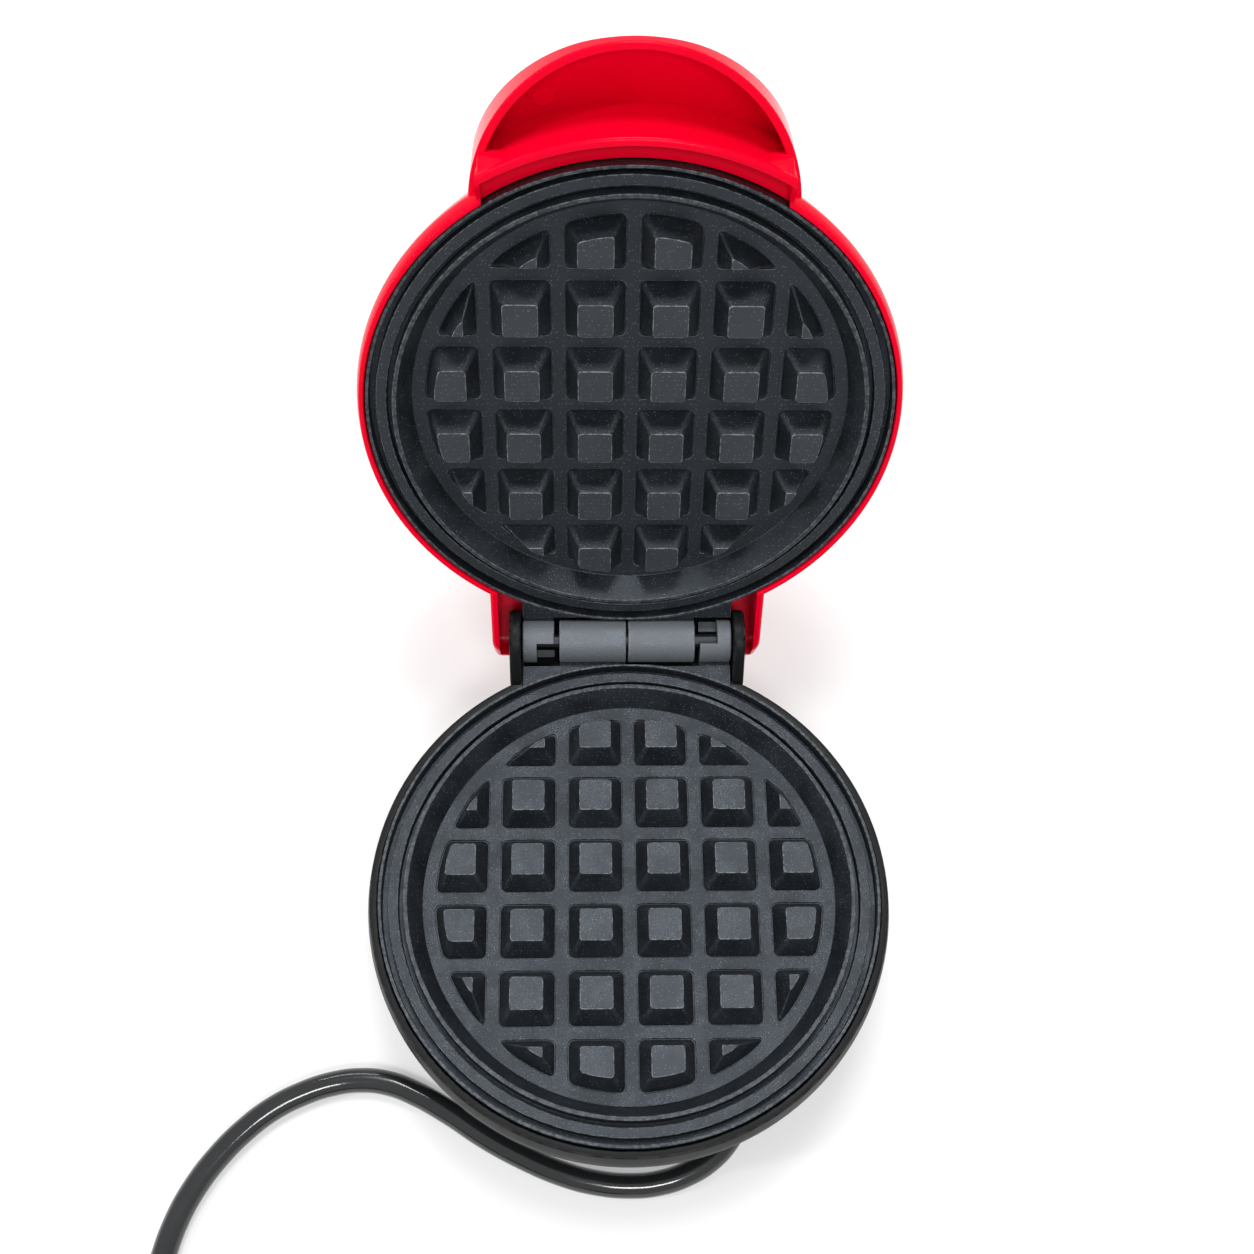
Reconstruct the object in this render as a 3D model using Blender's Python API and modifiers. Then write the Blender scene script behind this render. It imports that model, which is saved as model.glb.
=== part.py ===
"""Mini waffle maker, standing open with its cord lying beside it.

Metres, +Z up, +Y towards the hinge. The origin is on the table, under the middle of the open cooker.
Run with: blender --background --python part.py
"""

import math

import bmesh
import bpy
from mathutils import Matrix, Vector

# The cooker as a whole
HINGE_HEIGHT = 0.0355
HINGE_MARGIN = 0.0054
OPEN_ANGLE = math.radians(113.5)
FIT_GAP = 0.0003
OVERRUN = 0.003
MERGE_DISTANCE = 0.00001
ROUND_STEPS = 40
SMALL_STEPS = 16

# Waffle plates, one casting used twice. Depths are below the parting plane.
PLATE_RADIUS = 0.0572
LIP_WIDTH = 0.0011
LIP_DROP = 0.0012
OUTER_GROOVE_WIDTH = 0.0011
OUTER_GROOVE_DROP = 0.0036
RING_WIDTH = 0.0023
RING_DROP = 0.0026
INNER_GROOVE_WIDTH = 0.0009
INNER_GROOVE_DROP = 0.0033
RIDGE_WIDTH = 0.0014
RIDGE_DROP = 0.0008
CAVITY_SLOPE_WIDTH = 0.0028
CAVITY_DROP = 0.0065
PLATE_WALL = 0.0031
RIM_WALL = 0.0016
TAB_HALF_WIDTH = 0.0250
TAB_DROP = 0.0018
TAB_ROOT_SHARE = 0.86
STUD_FIELD_MARGIN = 0.0029
STUD_PITCH_SHARE = 0.349
CHANNEL_WIDTH = 0.0028
STUD_SLOPE_WIDTH = 0.0027
STUD_TOP_DROP = 0.0010
STUD_FIELD_DRAFT = 0.0027
STUDS_ACROSS = 6
STUD_LEAST_WIDTH = 0.0040
PLATE_BOSS_RADIUS = 0.0036
PLATE_BOSS_MARGIN = 0.0046
PLATE_BOSS_ANGLES = (90.0, 200.0, 340.0)
CLAMP_BOSS_RADIUS = 0.0042
CLAMP_BOSS_Y = -0.0060

# Hinge: knuckles on the two castings, a pin through them and lugs on the housing
KNUCKLE_RADIUS = 0.00515
BIG_KNUCKLE_LENGTH = 0.0160
KNUCKLE_MIDDLE_GAP = 0.0005
SMALL_KNUCKLE_LENGTH = 0.0075
NOTCH_WIDTH = 0.0042
NOTCH_ANGLE = math.radians(123.3)
KNUCKLE_CLEARANCE = 0.0006
KNUCKLE_NECK_DROP = 0.0012
KNUCKLE_NECK_REACH = 0.0020
PIN_RADIUS = 0.0022
LUG_CLEARANCE = 0.0004
LUG_WIDTH = 0.0027
LUG_RADIUS = 0.0075
WEB_THICKNESS = 0.0014
WEB_REACH = 0.0015

# Base housing: black moulding around the lower plate
HOUSING_MARGIN = 0.0028
HOUSING_WIDEST_DROP = 0.0078
HOUSING_TOP_DROP = 0.0026
HOUSING_WALL = 0.0021
HOUSING_TAPER = 0.0070
HOUSING_FOOT_DROP = 0.0265
SEAT_WIDTH = 0.0016
SEAT_THICKNESS = 0.0018
FLANGE_INSET = 0.0045
FLANGE_THICKNESS = 0.0018
TAB_GAP_ROOT_SHARE = 0.8
HOUSING_SIDE_SHARES = ((0.995, 0.10), (1.0, 0.22), (0.99, 0.48), (0.957, 0.74), (0.915, 0.93))

# Bottom cover with its four legs and the cord entry
COVER_THICKNESS = 0.0020
COVER_RIM_WALL = 0.0017
LEG_RADIUS = 0.0055
LEG_PLACE_SHARES = ((-0.717, -0.528), (0.717, -0.528), (-0.340, 0.887), (0.340, 0.887))
LEG_NAMES = ("front_left", "front_right", "rear_left", "rear_right")
LEG_CLEARANCE = 0.0012
PAD_RADIUS = 0.0040
PAD_HEIGHT = 0.0020
PAD_SEAT_WALL = 0.0012
ENTRY_X = 0.0275
ENTRY_HALF_WIDTH = 0.0062
ENTRY_FRONT_Y = -0.0060
ENTRY_DEPTH = 0.0150
ENTRY_WALL = 0.0018
ENTRY_CLEARANCE = 0.0006

# Screws
SCREW_RADIUS = 0.0016
SCREW_HEAD_RADIUS = 0.0031
SCREW_HEAD_HEIGHT = 0.0019
SCREW_BITE = 0.0060
SLOT_WIDTH = 0.0009
SLOT_DEPTH = 0.0008

# Heating under each plate
ELEMENT_MARGIN = 0.0140
ELEMENT_TUBE_RADIUS = 0.0030
ELEMENT_GAP_ANGLE = math.radians(52.0)
ELEMENT_END_RISE = 0.0022
CLAMP_OVERHANG = 0.0050
CLAMP_HALF_WIDTH = 0.0052
CLAMP_THICKNESS = 0.0012
THERMOSTAT_PLACE_SHARES = (-0.379, 0.386)
THERMOSTAT_RADIUS = 0.0068
THERMOSTAT_HEIGHT = 0.0075
THERMOSTAT_FLANGE_RADIUS = 0.0082
THERMOSTAT_FLANGE_HEIGHT = 0.0010
FUSE_PLACE_SHARES = (0.379, 0.345)
FUSE_RADIUS = 0.0024
FUSE_LENGTH = 0.0130
SHIELD_MARGIN = 0.0040
SHIELD_THICKNESS = 0.0006
BLOCK_PLACE_SHARES = (0.569, 0.707)
BLOCK_SIZE = (0.0180, 0.0100, 0.0066)
BLOCK_WELL_RADIUS = 0.0021
BLOCK_WELL_DEPTH = 0.0035
WIRE_RADIUS = 0.0009
WIRE_SPREAD_SHARE = 1.5

# Lid shell: red moulding with a domed top, a visor handle at the front and a hood over the hinge
DOME_HEADROOM = 0.0134
DOME_WALL = 0.0022
DOME_SHARES = (
    (0.975, 0.017),
    (0.984, 0.075),
    (0.984, 0.150),
    (0.952, 0.330),
    (0.905, 0.560),
    (0.835, 0.745),
    (0.690, 0.885),
    (0.410, 0.972),
    (0.0, 1.0),
)
HANDLE_OVERHANG = 0.0151
HANDLE_HALF_WIDTH = 0.0312
HANDLE_BULGE = 0.0019
HANDLE_RIM_LEVEL = 0.0040
HANDLE_RIM_WIDTH = 0.0018
HANDLE_EDGE_HEIGHT = 0.0042
HANDLE_ROOT_INSET = 0.0045
HANDLE_ROOT_LEVEL = 0.0240
HANDLE_BRIM_SHARES = ((0.0, 1.0), (0.28, 0.71), (0.62, 0.39), (0.92, 0.11), (1.0, 0.0))
HANDLE_LAND_SHARE = 0.74
HANDLE_THICKNESS = 0.0024
HANDLE_CURVE_POINTS = 56
HANDLE_DEPTH_SHARE = 0.25
SKIRT_STANDOFF = 0.0017
SKIRT_WALL = 0.0020
SKIRT_DROP = 0.0012
SKIRT_END_INSET = 0.0009
FRONT_LEDGE_LEVEL = 0.0039
HOOD_CLEARANCE = 0.0027
HOOD_LENGTH = 0.0260
HOOD_WALL = 0.0017
HOOD_BACK = 0.0097
HOOD_EDGE_START = 0.0032
HOOD_EDGE_RISE = 0.0056
HOOD_BACK_TOP = 0.0092
HOOD_CREST_SHARE = 0.73
HOOD_SLOPE_SHARES = ((-0.29, 0.14), (0.08, 0.47), (0.46, 0.88), (1.0, 1.0))
LENS_PLACE_SHARE = 0.3
LENS_RADIUS = 0.0040
LENS_FLANGE_RADIUS = 0.0058
LENS_FLANGE_HEIGHT = 0.0012
LENS_PROUD = 0.0010
LAMP_RADIUS = 0.0026
LAMP_LENGTH = 0.0055

# Mains cord
CORD_RADIUS = 0.0029
CORD_TABLE_GAP = 0.0001
RELIEF_LENGTH = 0.0240
RELIEF_ROOT_RADIUS = 0.0041
RELIEF_TIP_RADIUS = 0.0034
RELIEF_NECK_RADIUS = 0.0027
RELIEF_FLANGE_RADIUS = 0.0033
RELIEF_FLANGE_LENGTH = 0.0014
RELIEF_HEIGHT = 0.0045
CORD_POINTS = 66

# The cord's route from its relief to its coil: right, forward of the plate's middle, and above the table
CORD_ROUTE = (
    (0.0275, -0.0306, 0.0045),
    (0.0275, -0.0345, 0.0044),
    (0.0273, -0.0388, 0.0040),
    (0.0265, -0.0430, 0.0034),
    (0.0250, -0.0473, 0.0031),
    (0.0224, -0.0515, 0.0030),
    (0.0187, -0.0552, 0.0030),
    (0.0135, -0.0583, 0.0030),
    (0.0070, -0.0604, 0.0030),
    (0.0000, -0.0610, 0.0030),
    (-0.0085, -0.0601, 0.0030),
    (-0.0160, -0.0580, 0.0030),
    (-0.0240, -0.0546, 0.0030),
    (-0.0332, -0.0497, 0.0030),
    (-0.0421, -0.0439, 0.0030),
    (-0.0504, -0.0393, 0.0030),
    (-0.0565, -0.0370, 0.0030),
    (-0.0630, -0.0362, 0.0030),
    (-0.0698, -0.0370, 0.0030),
    (-0.0768, -0.0393, 0.0030),
    (-0.0832, -0.0426, 0.0030),
    (-0.0891, -0.0472, 0.0030),
    (-0.0946, -0.0530, 0.0030),
    (-0.0994, -0.0598, 0.0030),
    (-0.1030, -0.0673, 0.0030),
    (-0.1055, -0.0764, 0.0030),
    (-0.1066, -0.0850, 0.0030),
    (-0.1070, -0.0940, 0.0030),
    (-0.1070, -0.1030, 0.0030),
    (-0.1070, -0.1105, 0.0030),
)
COIL_CENTRE = (-0.0720, -0.1180)
COIL_OUTER_RADIUS = 0.0350
COIL_PITCH = 0.0064
COIL_START_ANGLE = math.radians(180.0)
COIL_CLIMB_START = math.radians(540.0)
COIL_CLIMB_END = math.radians(720.0)
COIL_END_ANGLE = math.radians(990.0)
COIL_LOOP_POINTS = 24
COIL_LEAD_IN = 0.0072
COIL_LEAD_OUT = 0.0200

# Two-blade plug
PLUG_WIDTH = 0.0240
PLUG_LENGTH = 0.0270
PLUG_EDGE = 0.0025
PLUG_TAIL_LENGTH = 0.0220
PLUG_TAIL_ROOT_RADIUS = 0.0062
PLUG_TAIL_TIP_RADIUS = 0.0034
BLADE_SPACING = 0.0127
BLADE_THICKNESS = 0.0015
BLADE_WIDTH = 0.0063
BLADE_LENGTH = 0.0170
BLADE_SOCKET = 0.0060

# Sizes that follow from those above
HINGE_DISTANCE = PLATE_RADIUS + HINGE_MARGIN
HOUSING_RADIUS = PLATE_RADIUS + HOUSING_MARGIN
HOUSING_FOOT_RADIUS = HOUSING_RADIUS - HOUSING_TAPER
GROOVE_OUTER = PLATE_RADIUS - LIP_WIDTH
RING_OUTER = GROOVE_OUTER - OUTER_GROOVE_WIDTH
RING_INNER = RING_OUTER - RING_WIDTH
RIDGE_OUTER = RING_INNER - INNER_GROOVE_WIDTH
RIDGE_INNER = RIDGE_OUTER - RIDGE_WIDTH
CAVITY_RADIUS = RIDGE_INNER - CAVITY_SLOPE_WIDTH
STUD_FIELD_RADIUS = CAVITY_RADIUS - STUD_FIELD_MARGIN
STUD_PITCH = STUD_PITCH_SHARE * STUD_FIELD_RADIUS
STUD_BASE_HALF = (STUD_PITCH - CHANNEL_WIDTH) / 2
STUD_TOP_HALF = STUD_BASE_HALF - STUD_SLOPE_WIDTH
PLATE_BOSS_CIRCLE = CAVITY_RADIUS - PLATE_BOSS_MARGIN
FLANGE_INNER_RADIUS = PLATE_BOSS_CIRCLE - FLANGE_INSET
ELEMENT_RADIUS = PLATE_BOSS_CIRCLE - ELEMENT_MARGIN
CLAMP_HALF_LENGTH = ELEMENT_RADIUS + CLAMP_OVERHANG
SHIELD_RADIUS = PLATE_BOSS_CIRCLE + SHIELD_MARGIN
THERMOSTAT_PLACE = [share * ELEMENT_RADIUS for share in THERMOSTAT_PLACE_SHARES]
FUSE_PLACE = [share * ELEMENT_RADIUS for share in FUSE_PLACE_SHARES]
BLOCK_PLACE = [share * ELEMENT_RADIUS for share in BLOCK_PLACE_SHARES]
LEG_PLACES = [(across * HOUSING_FOOT_RADIUS, back * HOUSING_FOOT_RADIUS) for across, back in LEG_PLACE_SHARES]
SMALL_KNUCKLE_END = TAB_HALF_WIDTH
SMALL_KNUCKLE_START = SMALL_KNUCKLE_END - SMALL_KNUCKLE_LENGTH
LUG_INNER_X = TAB_HALF_WIDTH + LUG_CLEARANCE
PLATE_UNDERSIDE = CAVITY_DROP + PLATE_WALL
RIM_UNDERSIDE = OUTER_GROOVE_DROP + RIM_WALL
SEAT_DROP = RIM_UNDERSIDE + FIT_GAP
RIM_BORE = PLATE_RADIUS + FIT_GAP
COVER_TOP_DROP = HOUSING_FOOT_DROP - COVER_THICKNESS
FLANGE_TOP_DROP = COVER_TOP_DROP - FIT_GAP - FLANGE_THICKNESS
PLATE_BOSS_END = FLANGE_TOP_DROP - FIT_GAP
DOME_HEIGHT = PLATE_BOSS_END + DOME_HEADROOM
ELEMENT_DROP = PLATE_UNDERSIDE + FIT_GAP + ELEMENT_TUBE_RADIUS
CLAMP_TOP_DROP = ELEMENT_DROP + ELEMENT_TUBE_RADIUS + FIT_GAP
PIN_BORE = PIN_RADIUS + FIT_GAP
SCREW_BORE = SCREW_RADIUS + FIT_GAP
COVER_RADIUS = HOUSING_FOOT_RADIUS - COVER_RIM_WALL - FIT_GAP
COVER_LEVEL = HINGE_HEIGHT - HOUSING_FOOT_DROP
ENTRY_BOTTOM = RELIEF_HEIGHT - RELIEF_ROOT_RADIUS
CORD_LEVEL = CORD_RADIUS + CORD_TABLE_GAP
SKIRT_INNER_RADIUS = HOUSING_RADIUS + SKIRT_STANDOFF
SKIRT_OUTER_RADIUS = SKIRT_INNER_RADIUS + SKIRT_WALL
SKIRT_HALF_WIDTH = HANDLE_HALF_WIDTH - SKIRT_END_INSET
HANDLE_REACH = SKIRT_OUTER_RADIUS + HANDLE_OVERHANG
HANDLE_OUTLINE_RADIUS = HANDLE_HALF_WIDTH + HANDLE_BULGE
HANDLE_CENTRE_Y = HANDLE_OUTLINE_RADIUS - HANDLE_REACH
HANDLE_ROOT_RADIUS = HOUSING_RADIUS - HANDLE_ROOT_INSET
HANDLE_BOTTOM = -HANDLE_DEPTH_SHARE * HANDLE_REACH
HOOD_HALF_WIDTH = LUG_INNER_X + LUG_WIDTH + HOOD_CLEARANCE + HOOD_WALL
LENS_Y = LENS_PLACE_SHARE * HOUSING_RADIUS
SHIELD_LEVEL = PLATE_BOSS_END + FIT_GAP


def rear_reach():
    """The furthest that the open lid's dome comes behind the plate's middle."""
    turned = [
        (HINGE_DISTANCE + radius * HOUSING_RADIUS) * -math.cos(OPEN_ANGLE)
        + height * DOME_HEIGHT * math.sin(OPEN_ANGLE)
        for radius, height in DOME_SHARES
    ]
    return HINGE_DISTANCE + max(turned)


BASE_CENTRE_Y = (HOUSING_RADIUS - rear_reach()) / 2


def clear_scene():
    for obj in list(bpy.data.objects):
        bpy.data.objects.remove(obj, do_unlink=True)


def new_collection(name):
    collection = bpy.data.collections.new(name)
    bpy.context.scene.collection.children.link(collection)
    return collection


def make_material(name, colour, roughness, metallic=0.0):
    material = bpy.data.materials.new(name)
    material.use_nodes = True
    shader = material.node_tree.nodes["Principled BSDF"]
    shader.inputs["Base Color"].default_value = (*colour, 1.0)
    shader.inputs["Roughness"].default_value = roughness
    shader.inputs["Metallic"].default_value = metallic
    return material


class Workshop:
    """Holds the two collections and makes objects in them under a parent empty."""

    def __init__(self):
        clear_scene()
        self.parts = new_collection("mini_waffle_maker")
        self.cutters = new_collection("cutters")
        self.parent = None

    def frame(self, name, location, rotation, parent=None):
        empty = bpy.data.objects.new(name, None)
        empty.location = location
        empty.rotation_euler = rotation
        empty.parent = parent
        self.parts.objects.link(empty)
        return empty

    def add(self, name, data, material=None):
        obj = bpy.data.objects.new(name, data)
        obj.parent = self.parent
        if material:
            data.materials.append(material)
            self.parts.objects.link(obj)
        else:
            obj.hide_render = True
            obj.display_type = "WIRE"
            self.cutters.objects.link(obj)
        return obj

    def from_bmesh(self, name, shape, material=None):
        bmesh.ops.recalc_face_normals(shape, faces=shape.faces)
        mesh = bpy.data.meshes.new(name)
        shape.to_mesh(mesh)
        shape.free()
        if material:
            mesh.shade_smooth()
            mesh.set_sharp_from_angle(angle=math.radians(30.0))
        return self.add(name, mesh, material)

    def box(self, name, low, high, material=None):
        shape = bmesh.new()
        bmesh.ops.create_cube(shape, size=1.0)
        size = Vector(high) - Vector(low)
        middle = (Vector(high) + Vector(low)) / 2
        bmesh.ops.transform(shape, matrix=Matrix.Translation(middle) @ Matrix.Diagonal((*size, 1.0)), verts=shape.verts)
        return self.from_bmesh(name, shape, material)

    def cylinder(self, name, centre, radius, low, high, material=None, axis="Z", steps=SMALL_STEPS, top_radius=None):
        """A cylinder or cone about a line through centre along the axis, from low to high on it."""
        shape = bmesh.new()
        bmesh.ops.create_cone(
            shape,
            cap_ends=True,
            segments=steps,
            radius1=radius,
            radius2=radius if top_radius is None else top_radius,
            depth=high - low,
        )
        turn = Matrix.Rotation(math.radians(90.0), 4, "Y") if axis == "X" else Matrix.Identity(4)
        if axis == "Y":
            turn = Matrix.Rotation(math.radians(-90.0), 4, "X")
        middle = (low + high) / 2
        along = {"X": (middle, 0.0, 0.0), "Y": (0.0, middle, 0.0), "Z": (0.0, 0.0, middle)}[axis]
        place = Matrix.Translation(Vector(centre) + Vector(along))
        bmesh.ops.transform(shape, matrix=place @ turn, verts=shape.verts)
        return self.from_bmesh(name, shape, material)

    def prism(self, name, outline, low, high, material=None, along="Z"):
        """An outline extruded from low to high. Along X its points are (y, z), along Z they are (x, y)."""
        shape = bmesh.new()
        if along == "X":
            points = [(low, y, z) for y, z in outline]
            step = Vector((high - low, 0.0, 0.0))
        else:
            points = [(x, y, low) for x, y in outline]
            step = Vector((0.0, 0.0, high - low))
        face = shape.faces.new([shape.verts.new(point) for point in points])
        made = bmesh.ops.extrude_face_region(shape, geom=[face])
        moved = [item for item in made["geom"] if isinstance(item, bmesh.types.BMVert)]
        bmesh.ops.translate(shape, vec=step, verts=moved)
        return self.from_bmesh(name, shape, material)

    def hull(self, name, points, material=None):
        shape = bmesh.new()
        verts = [shape.verts.new(point) for point in points]
        bmesh.ops.convex_hull(shape, input=verts)
        return self.from_bmesh(name, shape, material)

    def turned(self, name, profile, material=None, steps=ROUND_STEPS, closed=False, offset=False):
        """A profile of (radius, height) turned about Z. It runs down its outer side, top to bottom.

        With offset its facets lie half a step round, so that they share no edge line with another turned shape's.
        """
        mesh = bpy.data.meshes.new(name)
        edges = [(i, i + 1) for i in range(len(profile) - 1)]
        if closed:
            edges.append((len(profile) - 1, 0))
        mesh.from_pydata([(radius, 0.0, height) for radius, height in profile], edges, [])
        obj = self.add(name, mesh, material)
        obj.rotation_euler.z = math.pi / steps if offset else 0.0
        screw = obj.modifiers.new("Turn", "SCREW")
        screw.steps = steps
        screw.render_steps = steps
        screw.use_merge_vertices = True
        screw.merge_threshold = MERGE_DISTANCE
        screw.use_smooth_shade = True
        return obj

    def tube(self, name, points, radius, material, resolution=2):
        """A round tube through the points, with flat caps."""
        curve = bpy.data.curves.new(name, "CURVE")
        curve.dimensions = "3D"
        curve.bevel_depth = radius
        curve.bevel_resolution = resolution
        curve.use_fill_caps = True
        spline = curve.splines.new("POLY")
        spline.points.add(len(points) - 1)
        for item, point in zip(spline.points, points):
            item.co = (*point, 1.0)
        return self.add(name, curve, material)


def combine(target, operation, tools):
    for tool in tools:
        modifier = target.modifiers.new(tool.name, "BOOLEAN")
        modifier.operation = operation
        modifier.solver = "EXACT"
        modifier.object = tool


def fuse(target, *tools):
    combine(target, "UNION", tools)


def cut(target, *tools):
    combine(target, "DIFFERENCE", tools)


def keep(target, *tools):
    combine(target, "INTERSECT", tools)


def on_circle(radius, degrees):
    return radius * math.cos(math.radians(degrees)), radius * math.sin(math.radians(degrees))


def smooth_route(points, count):
    """Points at equal steps along a Catmull-Rom curve through the given ones."""
    knots = [Vector(point) for point in points]
    knots = [2 * knots[0] - knots[1], *knots, 2 * knots[-1] - knots[-2]]
    fine = []
    for before, start, end, after in zip(knots, knots[1:], knots[2:], knots[3:]):
        for k in range(20):
            t = k / 20
            fine.append(
                0.5
                * (
                    2 * start
                    + (end - before) * t
                    + (2 * before - 5 * start + 4 * end - after) * t**2
                    + (3 * start - before - 3 * end + after) * t**3
                )
            )
    fine.append(knots[-2])
    lengths = [0.0]
    for start, end in zip(fine, fine[1:]):
        lengths.append(lengths[-1] + (end - start).length)
    route, at = [], 0
    for k in range(count):
        wanted = lengths[-1] * k / (count - 1)
        while at < len(fine) - 2 and lengths[at + 1] < wanted:
            at += 1
        share = (wanted - lengths[at]) / (lengths[at + 1] - lengths[at])
        route.append(fine[at].lerp(fine[at + 1], share))
    return route


def plate_profile():
    """The casting's section without studs, tab or knuckles, from the middle of its face out and back under."""
    return [
        (0.0, -CAVITY_DROP),
        (CAVITY_RADIUS, -CAVITY_DROP),
        (RIDGE_INNER, -RIDGE_DROP),
        (RIDGE_OUTER, -RIDGE_DROP),
        (RIDGE_OUTER, -INNER_GROOVE_DROP),
        (RING_INNER, -INNER_GROOVE_DROP),
        (RING_INNER, -RING_DROP),
        (RING_OUTER, -RING_DROP),
        (RING_OUTER, -OUTER_GROOVE_DROP),
        (GROOVE_OUTER, -OUTER_GROOVE_DROP),
        (GROOVE_OUTER, -LIP_DROP),
        (PLATE_RADIUS, -LIP_DROP),
        (PLATE_RADIUS, -RIM_UNDERSIDE),
        (RING_INNER, -RIM_UNDERSIDE),
        (RIDGE_INNER, -PLATE_UNDERSIDE),
        (0.0, -PLATE_UNDERSIDE),
    ]


def stud_field(shop, name):
    """All the studs, as pyramids cut flat and clipped by the round edge of the field."""
    shape = bmesh.new()
    flare = (STUD_BASE_HALF - STUD_TOP_HALF) / (CAVITY_DROP - STUD_TOP_DROP)
    foot_half = STUD_BASE_HALF + flare * PLATE_WALL / 2
    places = [(k - (STUDS_ACROSS - 1) / 2) * STUD_PITCH for k in range(STUDS_ACROSS)]
    sunk = CAVITY_DROP + PLATE_WALL / 2
    for x in places:
        for y in places:
            nearest = math.hypot(abs(x) - STUD_BASE_HALF, abs(y) - STUD_BASE_HALF)
            if nearest > STUD_FIELD_RADIUS - STUD_LEAST_WIDTH:
                continue
            square = bmesh.ops.create_cube(shape, size=1.0)["verts"]
            for vert in square:
                top = vert.co.z > 0
                half = STUD_TOP_HALF if top else foot_half
                vert.co = (
                    x + math.copysign(half, vert.co.x),
                    y + math.copysign(half, vert.co.y),
                    -STUD_TOP_DROP if top else -sunk,
                )
    field = shop.from_bmesh(name + "_studs", shape)
    cone_flare = STUD_FIELD_DRAFT / (CAVITY_DROP - STUD_TOP_DROP)
    edge = shop.cylinder(
        name + "_field_edge",
        (0.0, 0.0, 0.0),
        STUD_FIELD_RADIUS + cone_flare * 2 * OVERRUN,
        -CAVITY_DROP - 2 * OVERRUN,
        OVERRUN,
        steps=ROUND_STEPS,
        top_radius=STUD_FIELD_RADIUS - cone_flare * (CAVITY_DROP + OVERRUN),
    )
    keep(field, edge)
    return field


def knuckle(shop, name, start, end):
    """A barrel on the hinge axis with the neck that joins it to the plate's tab."""
    barrel = shop.cylinder(
        name, (0.0, HINGE_DISTANCE, 0.0), KNUCKLE_RADIUS, start, end, axis="X", steps=24
    )
    neck = shop.box(
        name + "_neck",
        (start, HINGE_DISTANCE - KNUCKLE_RADIUS - KNUCKLE_NECK_REACH, -RIM_UNDERSIDE + FIT_GAP),
        (end, HINGE_DISTANCE - KNUCKLE_RADIUS / 2, -KNUCKLE_NECK_DROP - FIT_GAP),
    )
    fuse(barrel, neck)
    return barrel


def waffle_plate(shop, name, material):
    """One casting: studded dish, rim rings, hinge tab, its two knuckles and the bosses under it."""
    plate = shop.turned(name, plate_profile(), material)
    tab_edge = HINGE_DISTANCE - KNUCKLE_RADIUS - KNUCKLE_CLEARANCE
    tab = shop.box(
        name + "_tab",
        (-TAB_HALF_WIDTH, TAB_ROOT_SHARE * RING_INNER, -RIM_UNDERSIDE),
        (TAB_HALF_WIDTH, tab_edge, -TAB_DROP),
    )
    dish = shop.cylinder(
        name + "_dish", (0.0, 0.0, 0.0), RING_OUTER + OUTER_GROOVE_WIDTH, -PLATE_UNDERSIDE, OVERRUN, steps=ROUND_STEPS
    )
    cut(tab, dish)
    clearance = shop.box(
        name + "_clearance",
        (-TAB_HALF_WIDTH - OVERRUN, tab_edge, -PLATE_UNDERSIDE),
        (TAB_HALF_WIDTH + OVERRUN, HINGE_DISTANCE + KNUCKLE_RADIUS, OVERRUN),
    )
    big = knuckle(shop, name + "_big_knuckle", -KNUCKLE_MIDDLE_GAP / 2 - BIG_KNUCKLE_LENGTH, -KNUCKLE_MIDDLE_GAP / 2)
    small = knuckle(shop, name + "_small_knuckle", SMALL_KNUCKLE_START, SMALL_KNUCKLE_END)
    reach = KNUCKLE_RADIUS + OVERRUN
    edge_y, edge_z = reach * math.cos(NOTCH_ANGLE), reach * math.sin(NOTCH_ANGLE)
    notch = shop.prism(
        name + "_notch",
        [
            (HINGE_DISTANCE, 0.0),
            (HINGE_DISTANCE + reach, 0.0),
            (HINGE_DISTANCE + reach, reach),
            (HINGE_DISTANCE + edge_y, reach),
            (HINGE_DISTANCE + edge_y, edge_z),
        ],
        SMALL_KNUCKLE_START - OVERRUN,
        SMALL_KNUCKLE_START + NOTCH_WIDTH,
        along="X",
    )
    bore = shop.cylinder(
        name + "_pin_bore",
        (0.0, HINGE_DISTANCE, 0.0),
        PIN_BORE,
        -TAB_HALF_WIDTH - OVERRUN,
        TAB_HALF_WIDTH + OVERRUN,
        axis="X",
    )
    bosses = [
        shop.cylinder(
            f"{name}_boss_{k}",
            (*on_circle(PLATE_BOSS_CIRCLE, angle), 0.0),
            PLATE_BOSS_RADIUS,
            -PLATE_BOSS_END,
            -PLATE_UNDERSIDE + PLATE_WALL / 2,
        )
        for k, angle in enumerate(PLATE_BOSS_ANGLES)
    ]
    screw_holes = [
        shop.cylinder(
            f"{name}_hole_{k}",
            (*on_circle(PLATE_BOSS_CIRCLE, angle), 0.0),
            SCREW_BORE,
            -PLATE_BOSS_END - OVERRUN,
            -PLATE_BOSS_END + SCREW_BITE + FIT_GAP,
            steps=12,
        )
        for k, angle in enumerate(PLATE_BOSS_ANGLES)
    ]
    clamp_boss = shop.cylinder(
        name + "_clamp_boss",
        (0.0, CLAMP_BOSS_Y, 0.0),
        CLAMP_BOSS_RADIUS,
        -CLAMP_TOP_DROP + FIT_GAP,
        -PLATE_UNDERSIDE + PLATE_WALL / 2,
    )
    clamp_hole = shop.cylinder(
        name + "_clamp_hole",
        (0.0, CLAMP_BOSS_Y, 0.0),
        SCREW_BORE,
        -CLAMP_TOP_DROP - OVERRUN,
        -PLATE_UNDERSIDE,
        steps=12,
    )
    fuse(plate, stud_field(shop, name), tab)
    cut(plate, clearance)
    fuse(plate, big, small, *bosses, clamp_boss)
    cut(plate, notch, bore, *screw_holes, clamp_hole)
    return plate


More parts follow.
